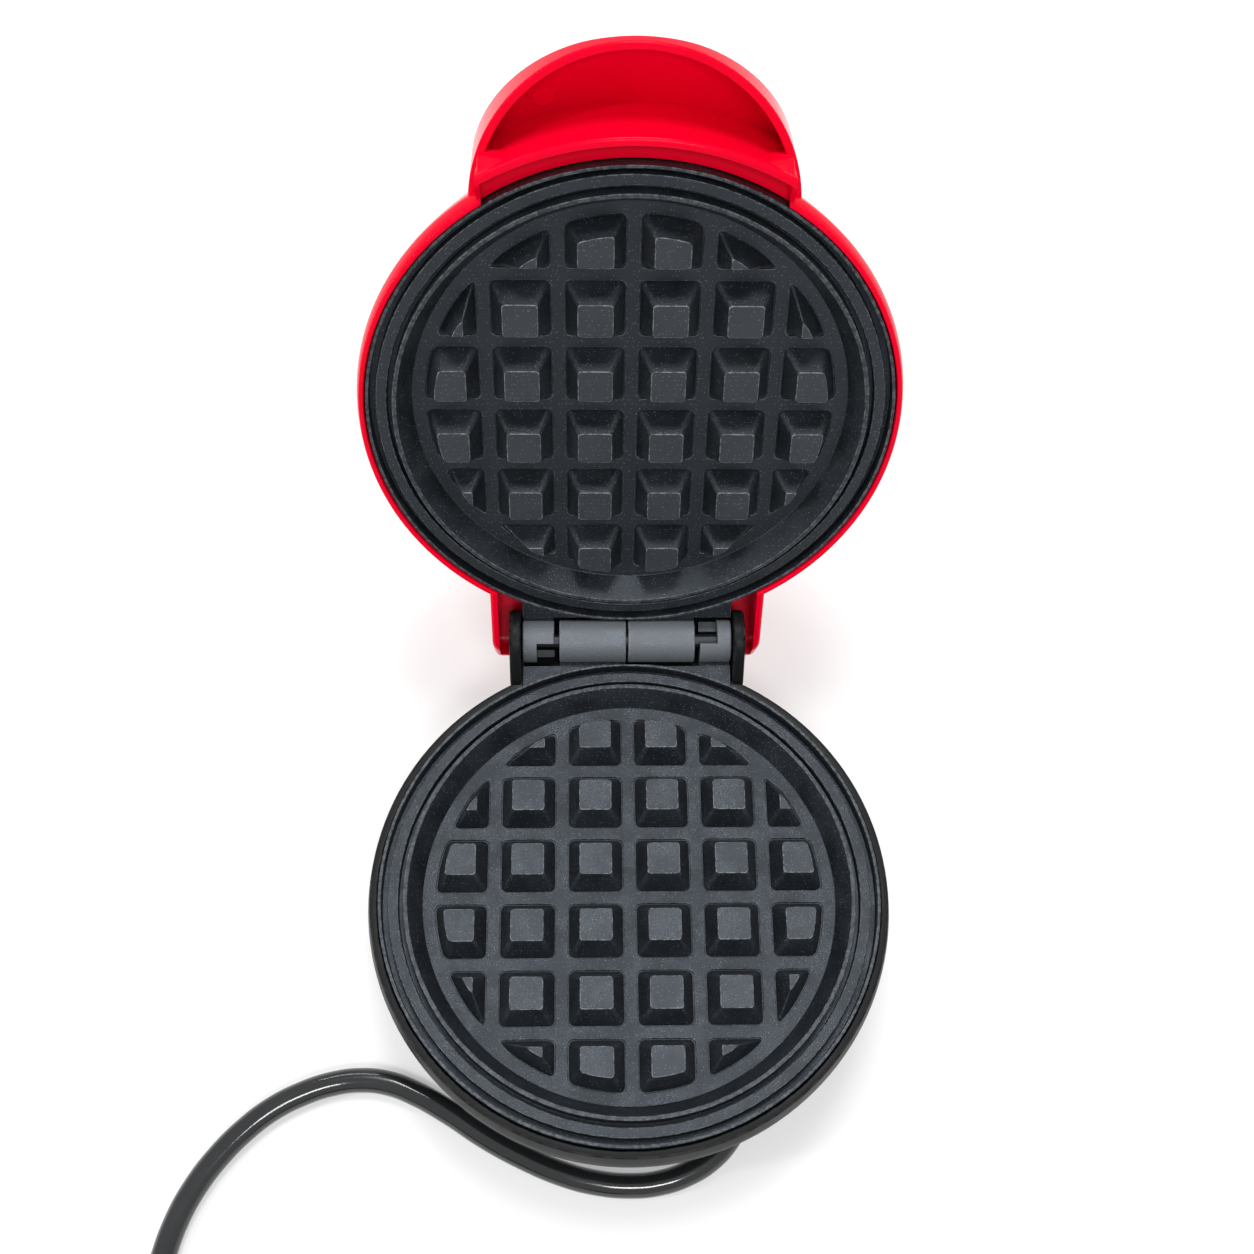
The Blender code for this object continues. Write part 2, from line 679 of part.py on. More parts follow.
def screw(shop, name, material, place, seat, bite, head_side=-1.0):
    """A slotted pan-head screw along Z. Its head's flat side is at seat, and head_side says which way the head lies."""
    x, y = place
    head = head_side * SCREW_HEAD_HEIGHT
    body = shop.cylinder(name, (x, y, 0.0), SCREW_HEAD_RADIUS, min(seat, seat + head), max(seat, seat + head), material)
    tip = seat - head_side * bite
    shank = shop.cylinder(
        name + "_shank", (x, y, 0.0), SCREW_RADIUS, min(seat + head / 2, tip), max(seat + head / 2, tip), steps=12
    )
    face = seat + head
    slot = shop.box(
        name + "_slot",
        (x - SCREW_HEAD_RADIUS - OVERRUN, y - SLOT_WIDTH / 2, min(face - head_side * SLOT_DEPTH, face + head_side * OVERRUN)),
        (x + SCREW_HEAD_RADIUS + OVERRUN, y + SLOT_WIDTH / 2, max(face - head_side * SLOT_DEPTH, face + head_side * OVERRUN)),
    )
    fuse(body, shank)
    cut(body, slot)


def heating_kit(shop, prefix, steel, element_steel):
    """The element, its clamp bar and the clamp screw, under a plate."""
    sweep = 2 * math.pi - ELEMENT_GAP_ANGLE
    start = math.pi / 2 + ELEMENT_GAP_ANGLE / 2
    count = 30
    arc = [
        (
            ELEMENT_RADIUS * math.cos(start + sweep * k / count),
            ELEMENT_RADIUS * math.sin(start + sweep * k / count),
            -ELEMENT_DROP,
        )
        for k in range(count + 1)
    ]
    shop.tube(prefix + "_heating_element", arc, ELEMENT_TUBE_RADIUS, element_steel)
    clamp_low = -CLAMP_TOP_DROP - CLAMP_THICKNESS
    clamp = shop.box(
        prefix + "_element_clamp",
        (-CLAMP_HALF_LENGTH, CLAMP_BOSS_Y - CLAMP_HALF_WIDTH, clamp_low),
        (CLAMP_HALF_LENGTH, CLAMP_BOSS_Y + CLAMP_HALF_WIDTH, -CLAMP_TOP_DROP),
        steel,
    )
    hole = shop.cylinder(
        prefix + "_element_clamp_hole",
        (0.0, CLAMP_BOSS_Y, 0.0),
        SCREW_BORE,
        clamp_low - OVERRUN,
        -CLAMP_TOP_DROP + OVERRUN,
        steps=12,
    )
    cut(clamp, hole)
    screw(
        shop,
        prefix + "_clamp_screw",
        steel,
        (0.0, CLAMP_BOSS_Y),
        clamp_low - FIT_GAP,
        CLAMP_THICKNESS + ELEMENT_TUBE_RADIUS,
    )


def housing_profile():
    """The base housing's wall as a closed section: down its outside, up its inside."""
    depth = HOUSING_FOOT_DROP - HOUSING_TOP_DROP
    outside = [
        (radius * HOUSING_RADIUS, -HOUSING_TOP_DROP - share * depth) for radius, share in HOUSING_SIDE_SHARES
    ]
    inside = [
        (radius * HOUSING_RADIUS - HOUSING_WALL, -HOUSING_TOP_DROP - share * depth)
        for radius, share in HOUSING_SIDE_SHARES[2:4]
    ]
    skirt_bore = COVER_RADIUS + FIT_GAP
    seat_bore = PLATE_RADIUS - SEAT_WIDTH
    return [
        (RIM_BORE, -HOUSING_TOP_DROP),
        (HOUSING_RADIUS - SEAT_WIDTH / 2, -HOUSING_TOP_DROP),
        *outside,
        (HOUSING_FOOT_RADIUS, -HOUSING_FOOT_DROP),
        (skirt_bore, -HOUSING_FOOT_DROP),
        (skirt_bore, -COVER_TOP_DROP + FIT_GAP),
        (FLANGE_INNER_RADIUS, -COVER_TOP_DROP + FIT_GAP),
        (FLANGE_INNER_RADIUS, -FLANGE_TOP_DROP),
        (skirt_bore, -FLANGE_TOP_DROP),
        *reversed(inside),
        (seat_bore, -SEAT_DROP - SEAT_THICKNESS),
        (seat_bore, -SEAT_DROP),
        (RIM_BORE, -SEAT_DROP),
    ]


def base_housing(shop, material):
    housing = shop.turned("base_housing", housing_profile(), material, closed=True)
    lug_foot = math.sqrt(RIM_BORE**2 - LUG_INNER_X**2) + FIT_GAP
    for side, name in ((-1.0, "left"), (1.0, "right")):
        inner, outer = side * LUG_INNER_X, side * (LUG_INNER_X + LUG_WIDTH)
        low, high = min(inner, outer), max(inner, outer)
        ring = [on_circle(LUG_RADIUS, 15.0 * k) for k in range(24)]
        points = [(x, HINGE_DISTANCE + y, z) for x in (low, high) for y, z in ring]
        points += [
            (x, lug_foot, z) for x in (low, high) for z in (-HOUSING_TOP_DROP - FIT_GAP, -LUG_RADIUS - HOUSING_WALL)
        ]
        fuse(housing, shop.hull(f"base_housing_lug_{name}", points))
    web_top = -KNUCKLE_RADIUS - KNUCKLE_CLEARANCE
    web_half_width = LUG_INNER_X + LUG_WIDTH / 2
    web = shop.box(
        "base_housing_web",
        (-web_half_width, lug_foot, web_top - WEB_THICKNESS),
        (web_half_width, HINGE_DISTANCE + WEB_REACH, web_top),
    )
    web_trim = shop.cylinder(
        "base_housing_web_trim",
        (0.0, 0.0, 0.0),
        RIM_BORE - SEAT_WIDTH / 2,
        web_top - WEB_THICKNESS - OVERRUN,
        web_top + OVERRUN,
        steps=ROUND_STEPS,
    )
    cut(web, web_trim)
    fuse(housing, web)
    tab_gap = shop.box(
        "base_housing_tab_gap",
        (-TAB_HALF_WIDTH - FIT_GAP, TAB_GAP_ROOT_SHARE * RING_INNER, -SEAT_DROP),
        (TAB_HALF_WIDTH + FIT_GAP, HINGE_DISTANCE + OVERRUN, OVERRUN),
    )
    cut(housing, tab_gap)
    for k, angle in enumerate(PLATE_BOSS_ANGLES):
        hole = shop.cylinder(
            f"base_housing_screw_hole_{k}",
            (*on_circle(PLATE_BOSS_CIRCLE, angle), 0.0),
            SCREW_BORE,
            -COVER_TOP_DROP - OVERRUN,
            -FLANGE_TOP_DROP + OVERRUN,
            steps=12,
        )
        cut(housing, hole)


def bottom_cover(shop, material):
    """A disc inside the housing's foot, its four legs and the hollow boss that the cord comes out of."""
    cover = shop.cylinder(
        "bottom_cover", (0.0, 0.0, 0.0), COVER_RADIUS, COVER_LEVEL, COVER_LEVEL + COVER_THICKNESS, material, steps=ROUND_STEPS
    )
    for (x, y), name in zip(LEG_PLACES, LEG_NAMES):
        leg = shop.cylinder(
            "bottom_cover_leg_" + name, (x, y, 0.0), LEG_RADIUS, LEG_CLEARANCE, COVER_LEVEL - FIT_GAP
        )
        inwards = min((COVER_RADIUS - LEG_RADIUS - FIT_GAP) / math.hypot(x, y), 1.0)
        root = shop.cylinder(
            "bottom_cover_leg_root_" + name,
            (x * inwards, y * inwards, 0.0),
            LEG_RADIUS - FIT_GAP,
            PAD_HEIGHT + PAD_SEAT_WALL,
            COVER_LEVEL + COVER_THICKNESS / 2,
        )
        seat = shop.cylinder(
            "bottom_cover_pad_seat_" + name, (x, y, 0.0), PAD_RADIUS + FIT_GAP, -OVERRUN, PAD_HEIGHT + FIT_GAP
        )
        cut(leg, seat)
        fuse(cover, leg, root)
    entry = shop.box(
        "bottom_cover_entry",
        (ENTRY_X - ENTRY_HALF_WIDTH, ENTRY_FRONT_Y, ENTRY_BOTTOM),
        (ENTRY_X + ENTRY_HALF_WIDTH, ENTRY_FRONT_Y + ENTRY_DEPTH, COVER_LEVEL + COVER_THICKNESS / 2),
    )
    hollow = shop.box(
        "bottom_cover_entry_hollow",
        (ENTRY_X - ENTRY_HALF_WIDTH + ENTRY_WALL / 2, ENTRY_FRONT_Y + ENTRY_WALL, ENTRY_BOTTOM + ENTRY_CLEARANCE),
        (
            ENTRY_X + ENTRY_HALF_WIDTH - ENTRY_WALL / 2,
            ENTRY_FRONT_Y + ENTRY_DEPTH - ENTRY_WALL,
            COVER_LEVEL + COVER_THICKNESS + OVERRUN,
        ),
    )
    hole = shop.cylinder(
        "bottom_cover_cord_hole",
        (ENTRY_X, 0.0, RELIEF_HEIGHT),
        RELIEF_NECK_RADIUS + FIT_GAP,
        ENTRY_FRONT_Y - OVERRUN,
        ENTRY_FRONT_Y + ENTRY_WALL + OVERRUN / 2,
        axis="Y",
    )
    fuse(cover, entry)
    cut(cover, hollow, hole)
    for k, angle in enumerate(PLATE_BOSS_ANGLES):
        bore = shop.cylinder(
            f"bottom_cover_screw_hole_{k}",
            (*on_circle(PLATE_BOSS_CIRCLE, angle), 0.0),
            SCREW_BORE,
            COVER_LEVEL - OVERRUN,
            COVER_LEVEL + COVER_THICKNESS + OVERRUN,
            steps=12,
        )
        cut(cover, bore)


def base_fittings(shop, rubber, steel, ceramic, white, brass):
    """What is fixed between the bottom cover and the lower plate, and the pads and screws under the cover."""
    for (x, y), name in zip(LEG_PLACES, LEG_NAMES):
        shop.cylinder("foot_pad_" + name, (x, y, 0.0), PAD_RADIUS, 0.0, PAD_HEIGHT, rubber)
    bite = COVER_THICKNESS + FLANGE_THICKNESS + 2 * FIT_GAP + SCREW_BITE - FIT_GAP
    for angle, name in zip(PLATE_BOSS_ANGLES, ("rear", "left", "right")):
        screw(
            shop, "cover_screw_" + name, steel, on_circle(PLATE_BOSS_CIRCLE, angle), COVER_LEVEL - FIT_GAP, bite
        )
    under_plate = HINGE_HEIGHT - PLATE_UNDERSIDE - FIT_GAP
    x, y = THERMOSTAT_PLACE
    body = shop.cylinder(
        "thermostat", (x, y, 0.0), THERMOSTAT_RADIUS, under_plate - THERMOSTAT_HEIGHT, under_plate, ceramic
    )
    flange = shop.cylinder(
        "thermostat_flange", (x, y, 0.0), THERMOSTAT_FLANGE_RADIUS, under_plate - THERMOSTAT_FLANGE_HEIGHT, under_plate
    )
    fuse(body, flange)
    x, y = FUSE_PLACE
    shop.cylinder(
        "thermal_fuse",
        (x, y, under_plate - FUSE_RADIUS),
        FUSE_RADIUS,
        -FUSE_LENGTH / 2,
        FUSE_LENGTH / 2,
        white,
        axis="Y",
    )
    x, y = BLOCK_PLACE
    long, wide, tall = BLOCK_SIZE
    floor = COVER_LEVEL + COVER_THICKNESS + FIT_GAP
    block = shop.box(
        "terminal_block", (x - long / 2, y - wide / 2, floor), (x + long / 2, y + wide / 2, floor + tall), brass
    )
    for k in range(3):
        well_x = x + (k - 1) * long / 3
        well = shop.cylinder(
            f"terminal_block_well_{k}",
            (well_x, y, 0.0),
            BLOCK_WELL_RADIUS,
            floor + tall - BLOCK_WELL_DEPTH,
            floor + tall + OVERRUN,
            steps=12,
        )
        cut(block, well)
    return floor, under_plate


def base_wiring(shop, floor, under_plate, live, neutral):
    """Insulated leads between the cord entry, the terminal block, the thermostat, the fuse and the element."""
    block_x, block_y = BLOCK_PLACE
    long, wide, tall = BLOCK_SIZE
    rise = floor + tall / 2
    front = block_y - wide / 2 - FIT_GAP
    spread = WIRE_SPREAD_SHARE * WIRE_RADIUS
    entry_y = ENTRY_FRONT_Y + ENTRY_WALL + RELIEF_FLANGE_LENGTH + 2 * FIT_GAP
    for name, side, material in (("cord_lead_live", -1.0, live), ("cord_lead_neutral", 1.0, neutral)):
        x = ENTRY_X + side * spread
        end_x = block_x + side * long / 4
        route = [
            (x, entry_y, RELIEF_HEIGHT),
            (x, entry_y + 2 * WIRE_RADIUS, RELIEF_HEIGHT),
            (x, entry_y + 4 * WIRE_RADIUS, floor),
            (end_x, front - 3 * WIRE_RADIUS, rise),
            (end_x, front, rise),
        ]
        shop.tube(name, smooth_route(route, 12), WIRE_RADIUS, material, 1)
    stat_x, stat_y = THERMOSTAT_PLACE
    stat_low = under_plate - THERMOSTAT_HEIGHT - FIT_GAP
    left = block_x - long / 2 - FIT_GAP
    route = [
        (left, block_y, rise),
        (left - 3 * WIRE_RADIUS, block_y, rise),
        (stat_x, stat_y + THERMOSTAT_RADIUS, rise),
        (stat_x, stat_y, rise + WIRE_RADIUS),
        (stat_x, stat_y, stat_low),
    ]
    shop.tube("thermostat_lead", smooth_route(route, 14), WIRE_RADIUS, live, 1)
    fuse_x, fuse_y = FUSE_PLACE
    fuse_end = fuse_y + FUSE_LENGTH / 2 + FIT_GAP
    half_gap = ELEMENT_GAP_ANGLE / 2
    element_x = ELEMENT_RADIUS * math.sin(half_gap) - FIT_GAP
    element_y = ELEMENT_RADIUS * math.cos(half_gap)
    level = under_plate - FUSE_RADIUS
    route = [
        (fuse_x, fuse_end, level),
        (fuse_x, fuse_end + 2 * WIRE_RADIUS, level),
        (element_x - 4 * WIRE_RADIUS, element_y, level),
        (element_x, element_y, level),
    ]
    shop.tube("fuse_lead", smooth_route(route, 10), WIRE_RADIUS, neutral, 1)


def dome_inside(wall):
    """The line along the dome's wall at this depth in it, from its crown down past the rim."""
    inset = wall / HOUSING_RADIUS
    drop = wall / DOME_HEIGHT
    vault = [
        (max(radius - inset, 0.0) * HOUSING_RADIUS, (share - drop * share) * DOME_HEIGHT)
        for radius, share in DOME_SHARES[3:]
    ]
    return list(reversed(vault))


def dome_section():
    """The lid shell's wall as one line: down the outside of the dome, then up its inside."""
    outside = [(radius * HOUSING_RADIUS, share * DOME_HEIGHT) for radius, share in reversed(DOME_SHARES)]
    seat_bore = PLATE_RADIUS - SEAT_WIDTH
    rim = [
        (RIM_BORE, DOME_SHARES[0][1] * DOME_HEIGHT),
        (RIM_BORE, SEAT_DROP),
        (seat_bore, SEAT_DROP),
        (seat_bore, SEAT_DROP + SEAT_THICKNESS),
    ]
    return [*outside, *rim, *reversed(dome_inside(DOME_WALL))]


def dome_core():
    """A solid that ends halfway through the shell's wall, for trimming what joins the shell from outside."""
    mid_rim = RIM_BORE + FIT_GAP
    shoulder = SEAT_DROP + SEAT_THICKNESS / 2
    return [*dome_inside(DOME_WALL / 2), (mid_rim, shoulder), (mid_rim, -OVERRUN), (0.0, -OVERRUN)]


def handle_outline(inset):
    """The handle in plan: a circle that sticks out in front of the dome."""
    radius = HANDLE_OUTLINE_RADIUS - inset
    turns = [2 * math.pi * k / HANDLE_CURVE_POINTS for k in range(HANDLE_CURVE_POINTS)]
    return [(radius * math.cos(turn), HANDLE_CENTRE_Y + radius * math.sin(turn)) for turn in turns]


def brim_profile(lowered):
    """The handle's top surface as a turned brim, from its root on the dome out past its edge."""
    edge = HANDLE_RIM_LEVEL + HANDLE_EDGE_HEIGHT
    span = HANDLE_REACH - HANDLE_ROOT_RADIUS
    rise = HANDLE_ROOT_LEVEL - edge
    line = [(HANDLE_ROOT_RADIUS + out * span, edge + up * rise - lowered) for out, up in HANDLE_BRIM_SHARES]
    return [*line, (HANDLE_REACH + OVERRUN, edge - OVERRUN - lowered), (HANDLE_REACH + OVERRUN, HANDLE_BOTTOM)]


def handle_end(shop, name, side):
    """The sloping land that joins the handle's rim to the end of its skirt."""
    x = HANDLE_HALF_WIDTH - FIT_GAP
    inner_edge_x = x - HANDLE_RIM_WIDTH
    outer = HANDLE_OUTLINE_RADIUS - FIT_GAP
    inner = HANDLE_OUTLINE_RADIUS - HANDLE_RIM_WIDTH
    skirt_radius = SKIRT_INNER_RADIUS + SKIRT_WALL / 2
    inner_x = HANDLE_LAND_SHARE * HANDLE_HALF_WIDTH
    foot = [
        (x, -math.sqrt(skirt_radius**2 - x**2)),
        (inner_x, -math.sqrt(skirt_radius**2 - inner_x**2)),
    ]
    rim = [
        (x, HANDLE_CENTRE_Y - math.sqrt(outer**2 - x**2)),
        (inner_edge_x, HANDLE_CENTRE_Y - math.sqrt(inner**2 - inner_edge_x**2)),
    ]
    top = HANDLE_RIM_LEVEL + HANDLE_EDGE_HEIGHT / 2
    points = [(side * px, py, -SKIRT_DROP) for px, py in foot] + [(side * px, py, top) for px, py in foot]
    points += [(side * px, py, HANDLE_RIM_LEVEL) for px, py in rim] + [(side * px, py, top) for px, py in rim]
    return shop.hull(name, points)


def lid_shell(shop, material):
    """The outer form of the dome, handle and hood, then what is hollow in them cut out."""
    rim_level = DOME_SHARES[0][1] * DOME_HEIGHT
    shell = shop.turned("lid_shell", dome_section(), material)
    core = shop.turned("lid_shell_core", dome_core(), offset=True)
    handle = shop.prism("lid_shell_handle", handle_outline(0.0), HANDLE_RIM_LEVEL, DOME_HEIGHT)
    brim = shop.turned(
        "lid_shell_brim", [(0.0, HANDLE_ROOT_LEVEL), *brim_profile(0.0), (0.0, HANDLE_BOTTOM)]
    )
    keep(handle, brim)
    cut(handle, core)
    skirt_top = HANDLE_RIM_LEVEL + HANDLE_EDGE_HEIGHT
    skirt = shop.turned(
        "lid_shell_skirt",
        [
            (SKIRT_OUTER_RADIUS, skirt_top),
            (SKIRT_OUTER_RADIUS, -SKIRT_DROP),
            (SKIRT_INNER_RADIUS, -SKIRT_DROP),
            (PLATE_RADIUS + SEAT_WIDTH / 2, rim_level + SEAT_WIDTH),
            (PLATE_RADIUS + SEAT_WIDTH / 2, skirt_top),
        ],
        closed=True,
    )
    skirt_span = shop.box(
        "lid_shell_skirt_span",
        (-HANDLE_HALF_WIDTH, -HANDLE_REACH, -SKIRT_DROP - OVERRUN),
        (HANDLE_HALF_WIDTH, 0.0, HANDLE_ROOT_LEVEL + OVERRUN),
    )
    keep(skirt, skirt_span)
    ends = [
        handle_end(shop, "lid_shell_land_" + name, side) for side, name in ((-1.0, "left"), (1.0, "right"))
    ]
    hood_front = HINGE_DISTANCE - HOOD_LENGTH
    back = HINGE_DISTANCE + HOOD_BACK
    hood_crest = HOOD_CREST_SHARE * DOME_HEIGHT
    hood_slope = [
        (HINGE_DISTANCE - out * HOOD_LENGTH, HOOD_BACK_TOP + up * (hood_crest - HOOD_BACK_TOP))
        for out, up in HOOD_SLOPE_SHARES
    ]
    hood = shop.prism(
        "lid_shell_hood",
        [
            (hood_front, FIT_GAP),
            (HINGE_DISTANCE + HOOD_EDGE_START, FIT_GAP),
            (back, HOOD_EDGE_RISE),
            (back, HOOD_BACK_TOP),
            *hood_slope,
        ],
        -HOOD_HALF_WIDTH,
        HOOD_HALF_WIDTH,
        along="X",
    )
    cut(hood, core)
    hollow_front = hood_front - OVERRUN
    hood_hollow = shop.prism(
        "lid_shell_hood_hollow",
        [
            (hollow_front, -OVERRUN),
            (back - HOOD_WALL, -OVERRUN),
            (back - HOOD_WALL, HOOD_BACK_TOP - HOOD_WALL / 2),
            *[(y - HOOD_WALL / 2, z - HOOD_WALL) for y, z in hood_slope[:-1]],
            (hollow_front, hood_slope[-1][1] - HOOD_WALL),
        ],
        -HOOD_HALF_WIDTH + HOOD_WALL,
        HOOD_HALF_WIDTH - HOOD_WALL,
        along="X",
    )
    recess = shop.prism("lid_shell_recess", handle_outline(HANDLE_RIM_WIDTH), HANDLE_BOTTOM, HANDLE_ROOT_LEVEL)
    hollow_radius = SKIRT_OUTER_RADIUS + FIT_GAP
    inner_brim = [point for point in brim_profile(HANDLE_THICKNESS) if point[0] > hollow_radius + OVERRUN / 3]
    recess_ring = shop.turned(
        "lid_shell_recess_ring",
        [(hollow_radius, inner_brim[0][1]), *inner_brim, (hollow_radius, HANDLE_BOTTOM)],
        closed=True,
        offset=True,
    )
    keep(recess, recess_ring)
    groove = shop.turned(
        "lid_shell_front_groove",
        [
            (SKIRT_INNER_RADIUS + FIT_GAP, FRONT_LEDGE_LEVEL),
            (SKIRT_INNER_RADIUS + FIT_GAP, -SKIRT_DROP - OVERRUN),
            (RIM_BORE - HOUSING_WALL, -SKIRT_DROP - OVERRUN),
            (RIM_BORE - HOUSING_WALL, FRONT_LEDGE_LEVEL),
        ],
        closed=True,
        offset=True,
    )
    groove_span = shop.box(
        "lid_shell_groove_span",
        (-SKIRT_HALF_WIDTH, -HANDLE_REACH, -SKIRT_DROP - 2 * OVERRUN),
        (SKIRT_HALF_WIDTH, 0.0, SEAT_DROP + OVERRUN),
    )
    keep(groove, groove_span)
    lens_hole = shop.cylinder(
        "lid_shell_lens_hole", (0.0, LENS_Y, 0.0), LENS_RADIUS + FIT_GAP, DOME_HEIGHT / 2, DOME_HEIGHT + OVERRUN
    )
    fuse(shell, handle, skirt, hood)
    cut(shell, recess)
    fuse(shell, *ends)
    cut(shell, groove, hood_hollow, lens_hole)


def lid_fittings(shop, lens_plastic, glass):
    """The indicator's lens, held from inside by its flange, and the lamp behind it."""
    flange_top = height_at(dome_inside(DOME_WALL), LENS_Y + LENS_FLANGE_RADIUS) - FIT_GAP
    lens = shop.cylinder(
        "indicator_lens",
        (0.0, LENS_Y, 0.0),
        LENS_RADIUS,
        flange_top - LENS_FLANGE_HEIGHT / 2,
        DOME_HEIGHT + LENS_PROUD,
        lens_plastic,
    )
    flange = shop.cylinder(
        "indicator_lens_flange", (0.0, LENS_Y, 0.0), LENS_FLANGE_RADIUS, flange_top - LENS_FLANGE_HEIGHT, flange_top
    )
    fuse(lens, flange)
    lamp_top = flange_top - LENS_FLANGE_HEIGHT - FIT_GAP
    shop.cylinder("indicator_lamp", (0.0, LENS_Y, 0.0), LAMP_RADIUS, lamp_top - LAMP_LENGTH, lamp_top, glass)


def height_at(profile, radius):
    """The height of a falling profile at a radius."""
    for (near, high), (far, low) in zip(profile, profile[1:]):
        if near <= radius <= far:
            return high + (low - high) * (radius - near) / (far - near)
    return profile[-1][1]


def strain_relief(shop, material):
    """A tapered bush through the cord entry's front wall, lying along -Y."""
    out = ENTRY_FRONT_Y - FIT_GAP
    body = shop.cylinder(
        "strain_relief",
        (ENTRY_X, 0.0, RELIEF_HEIGHT),
        RELIEF_TIP_RADIUS,
        out - RELIEF_LENGTH,
        out,
        material,
        axis="Y",
        top_radius=RELIEF_ROOT_RADIUS - CORD_TABLE_GAP,
    )
    inside = ENTRY_FRONT_Y + ENTRY_WALL + FIT_GAP
    neck = shop.cylinder(
        "strain_relief_neck",
        (ENTRY_X, 0.0, RELIEF_HEIGHT),
        RELIEF_NECK_RADIUS,
        out - FIT_GAP,
        inside + RELIEF_FLANGE_LENGTH / 2,
        axis="Y",
    )
    flange = shop.cylinder(
        "strain_relief_flange",
        (ENTRY_X, 0.0, RELIEF_HEIGHT),
        RELIEF_FLANGE_RADIUS,
        inside,
        inside + RELIEF_FLANGE_LENGTH,
        axis="Y",
    )
    fuse(body, neck, flange)


def coil_points():
    """The put-away cord: in on the table, round and inwards, up a layer, and round and outwards to the plug."""
    centre = Vector((*COIL_CENTRE, 0.0))
    turn_back = (COIL_CLIMB_START + COIL_CLIMB_END) / 2
    step = 2 * math.pi / COIL_LOOP_POINTS
    count = round((COIL_END_ANGLE - COIL_START_ANGLE) / step)
    rate = COIL_PITCH / (2 * math.pi)
    points = []
    for k in range(count + 1):
        angle = COIL_START_ANGLE + step * k
        inwards = min(angle, turn_back) - COIL_START_ANGLE
        outwards = max(angle - turn_back, 0.0)
        radius = COIL_OUTER_RADIUS - rate * (inwards - outwards)
        climbed = min(max((angle - COIL_CLIMB_START) / (COIL_CLIMB_END - COIL_CLIMB_START), 0.0), 1.0)
        height = CORD_LEVEL + COIL_PITCH * (1 - math.cos(math.pi * climbed)) / 2
        points.append(centre + Vector((radius * math.cos(angle), radius * math.sin(angle), height)))
    lead_in = points[0] + Vector((0.0, COIL_LEAD_IN, 0.0))
    lead_out = points[-1] + Vector((COIL_LEAD_OUT, 0.0, 0.0))
    return [lead_in, *points, lead_out]


def least_gap(points, radius):
    """The least distance between stretches of the tube that aren't neighbours along it."""
    fine = smooth_route(points, 6 * len(points))
    far = 4 * radius
    lengths = [0.0]
    for start, end in zip(fine, fine[1:]):
        lengths.append(lengths[-1] + (end - start).length)
    nearest = min(
        (fine[i] - fine[j]).length
        for i in range(len(fine))
        for j in range(i + 1, len(fine))
        if lengths[j] - lengths[i] > far
    )
    return nearest - 2 * radius


def plug(shop, start, rubber, brass):
    """A moulded plug lying on its side past the coil's end, pointing along +X, with two flat blades."""
    x0, y0, z0 = start
    x0 += FIT_GAP
    half_height = z0 - CORD_TABLE_GAP
    tail_end = x0 + PLUG_TAIL_LENGTH
    body_end = tail_end + PLUG_LENGTH
    body = shop.box(
        "plug_body",
        (tail_end, y0 - PLUG_WIDTH / 2, z0 - half_height),
        (body_end, y0 + PLUG_WIDTH / 2, z0 + half_height),
        rubber,
    )
    edges = body.modifiers.new("Edges", "BEVEL")
    edges.width = PLUG_EDGE
    edges.segments = 2
    tail = shop.cylinder(
        "plug_body_tail",
        (0.0, y0, z0),
        PLUG_TAIL_TIP_RADIUS,
        x0,
        tail_end + PLUG_EDGE,
        axis="X",
        top_radius=PLUG_TAIL_ROOT_RADIUS,
    )
    fuse(body, tail)
    for side, name in ((-1.0, "right"), (1.0, "left")):
        y = y0 + side * BLADE_SPACING / 2
        low = (body_end - BLADE_SOCKET + FIT_GAP, y - BLADE_THICKNESS / 2, z0 - BLADE_WIDTH / 2)
        high = (body_end + BLADE_LENGTH, y + BLADE_THICKNESS / 2, z0 + BLADE_WIDTH / 2)
        shop.box("plug_blade_" + name, low, high, brass)
        room = Vector((FIT_GAP, FIT_GAP, FIT_GAP))
        socket = shop.box("plug_body_socket_" + name, Vector(low) - room, Vector(high) + room)
        cut(body, socket)


